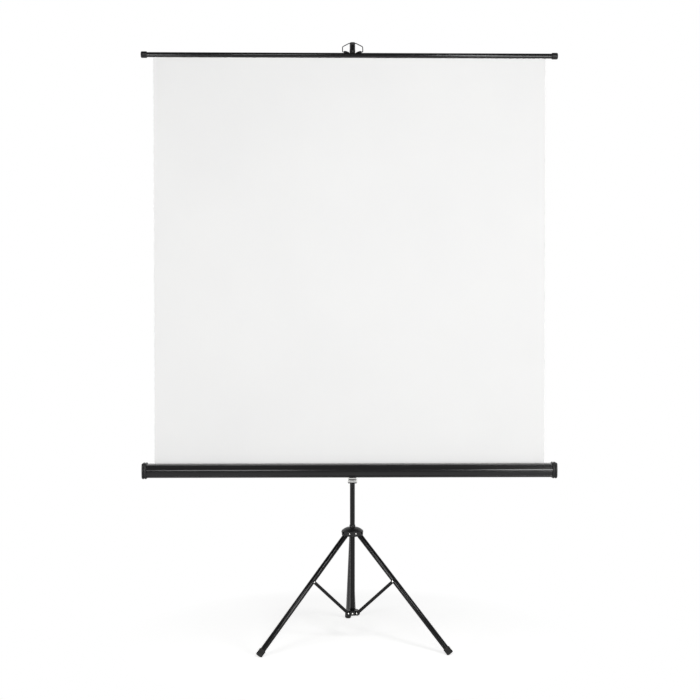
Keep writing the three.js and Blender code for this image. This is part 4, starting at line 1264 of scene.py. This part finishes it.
def screen_sheet():
    """The sheet: white cloth with a black back, from the roller up to the batten."""
    low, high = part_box("fabric_sheet")
    high.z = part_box("batten_tube")[0].z + SHEET_TUCK
    front = sheet_face(low, high, -SHEET_GAUGE / 2)
    back = sheet_face(low, high, SHEET_GAUGE / 2)
    skin = loft([near + list(reversed(far)) for near, far in zip(front, back)])
    for face in skin.faces:
        face.material_index = 1 if face.normal.y > 0.5 else 0
    piece = add_piece("fabric_sheet", skin, SCREEN_FRONT, SCREEN_BACK)
    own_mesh(piece)


def floor_finish():
    """A pale matt floor that keeps the shadows and fades to the white of the background. Gloss and glass see
    that white too, but for the stretch by the camera, where the white sweep of the studio ends. The floor
    throws less light back at the object than it shows the camera."""
    material, tree, spot = start_finish("pale_studio_floor")
    ray = add(tree, "ShaderNodeLightPath").outputs
    camera = ray["Is Camera Ray"]
    depth = add(tree, "ShaderNodeSeparateXYZ", {"Vector": spot}).outputs["Y"]
    sweep = add(tree, "ShaderNodeMapRange", {"Value": depth, "From Min": SWEEP_END, "From Max": SWEEP_START})
    mirrored = add(tree, "ShaderNodeMath", {
        0: ray["Is Glossy Ray"], 1: ray["Is Transmission Ray"],
    }, operation="MAXIMUM")
    seen = add(tree, "ShaderNodeMath", {
        0: mirrored.outputs["Value"], 1: sweep.outputs["Result"],
    }, operation="MULTIPLY")
    shown = add(tree, "ShaderNodeMath", {
        0: seen.outputs["Value"], 1: camera,
    }, operation="MAXIMUM").outputs["Value"]
    away = add(tree, "ShaderNodeVectorMath", {0: spot}, operation="LENGTH").outputs["Value"]
    far = add(tree, "ShaderNodeMapRange", {"Value": away, "From Min": FADE_START, "From Max": FADE_END})
    fade = add(tree, "ShaderNodeMath", {0: shown, 1: far.outputs["Result"]}, operation="MULTIPLY")
    lift = add(tree, "ShaderNodeMath", {0: shown, 1: FLOOR_LIFT}, operation="MULTIPLY")
    pale = add(tree, "ShaderNodeBsdfDiffuse", {"Color": hex_colour("#f1f1f0")})
    dull = add(tree, "ShaderNodeBsdfDiffuse", {"Color": hex_colour("#b4b4b3")})
    matt = add(tree, "ShaderNodeMixShader", {0: camera, 1: dull.outputs["BSDF"], 2: pale.outputs["BSDF"]})
    glow = add(tree, "ShaderNodeEmission", {"Strength": lift.outputs["Value"]})
    near = add(tree, "ShaderNodeAddShader", {0: matt.outputs["Shader"], 1: glow.outputs["Emission"]})
    white = add(tree, "ShaderNodeEmission", {"Strength": 1})
    both = add(tree, "ShaderNodeMixShader", {
        0: fade.outputs["Value"], 1: near.outputs["Shader"], 2: white.outputs["Emission"],
    })
    add(tree, "ShaderNodeOutputMaterial", {"Surface": both.outputs["Shader"]})
    return material


def studio_floor():
    skin = bmesh.new()
    bmesh.ops.create_grid(skin, x_segments=FLOOR_CELLS, y_segments=FLOOR_CELLS, size=FLOOR_HALF)
    mesh = bpy.data.meshes.new("studio_floor")
    skin.to_mesh(mesh)
    skin.free()
    mesh.materials.append(floor_finish())
    floor = bpy.data.objects.new("studio_floor", mesh)
    floor.location.z = -FLOOR_DROP
    bpy.context.scene.collection.objects.link(floor)


def studio_world():
    """Even light from all round. The camera sees plain white, and so does the gloss on the backdrop's side.
    On the camera's side the gloss sees the dimmer room that the lamps stand in, and a dark ceiling above."""
    world = bpy.data.worlds.new("studio")
    world.use_nodes = True
    tree = world.node_tree
    tree.nodes.clear()
    ray = add(tree, "ShaderNodeLightPath").outputs
    camera = ray["Is Camera Ray"]
    seen = add(tree, "ShaderNodeMath", {0: camera, 1: ray["Is Glossy Ray"]}, operation="MAXIMUM")
    shown = add(tree, "ShaderNodeMath", {
        0: seen.outputs["Value"], 1: ray["Is Transmission Ray"],
    }, operation="MAXIMUM")
    way = add(tree, "ShaderNodeTexCoord").outputs["Generated"]
    axes = add(tree, "ShaderNodeSeparateXYZ", {"Vector": way}).outputs
    room = add(tree, "ShaderNodeMapRange", {
        "Value": axes["Y"], "From Min": ROOM_END, "From Max": BACKDROP_START,
        "To Min": ROOM_LEVEL, "To Max": 1,
    })
    ceiling = add(tree, "ShaderNodeMapRange", {
        "Value": axes["Z"], "From Min": WALL_END, "From Max": CEILING_START,
        "To Min": 1, "To Max": CEILING_LEVEL,
    })
    walls = add(tree, "ShaderNodeMath", {
        0: room.outputs["Result"], 1: ceiling.outputs["Result"],
    }, operation="MULTIPLY")
    gloss = add(tree, "ShaderNodeMath", {0: walls.outputs["Value"], 1: camera}, operation="MAXIMUM")
    level = add(tree, "ShaderNodeMix", {
        "Factor": shown.outputs["Value"], "A": AMBIENT_LEVEL, "B": gloss.outputs["Value"],
    })
    sky = add(tree, "ShaderNodeBackground", {"Color": (1, 1, 1, 1), "Strength": level.outputs["Result"]})
    add(tree, "ShaderNodeOutputWorld", {"Surface": sky.outputs["Background"]})
    bpy.context.scene.world = world


def softbox(name, place, target, width, height, power):
    """A rectangular studio lamp that points at a place."""
    lamp = bpy.data.lights.new(name, "AREA")
    lamp.shape = "RECTANGLE"
    lamp.size = width
    lamp.size_y = height
    lamp.energy = power
    box = bpy.data.objects.new(name, lamp)
    box.location = place
    box.rotation_euler = (Vector(target) - Vector(place)).to_track_quat("-Z", "Y").to_euler()
    box.visible_camera = False
    bpy.context.scene.collection.objects.link(box)


def studio_camera():
    lens = bpy.data.cameras.new("photo_camera")
    lens.lens = CAMERA_LENS
    lens.sensor_width = SENSOR
    camera = bpy.data.objects.new("photo_camera", lens)
    camera.location = CAMERA_PLACE
    camera.rotation_euler = (math.radians(CAMERA_PITCH), 0, math.radians(CAMERA_YAW))
    bpy.context.scene.collection.objects.link(camera)
    bpy.context.scene.camera = camera


bpy.context.scene.view_settings.view_transform = "Standard"
studio_camera()
studio_world()
studio_floor()
for lamp_name, lamp_settings in SOFTBOXES.items():
    softbox(lamp_name, *lamp_settings)

column_pieces()
hub_pieces()
leg_pieces()
stay_pieces()
slider_pieces()
case_pieces()
batten_pieces()
screen_sheet()
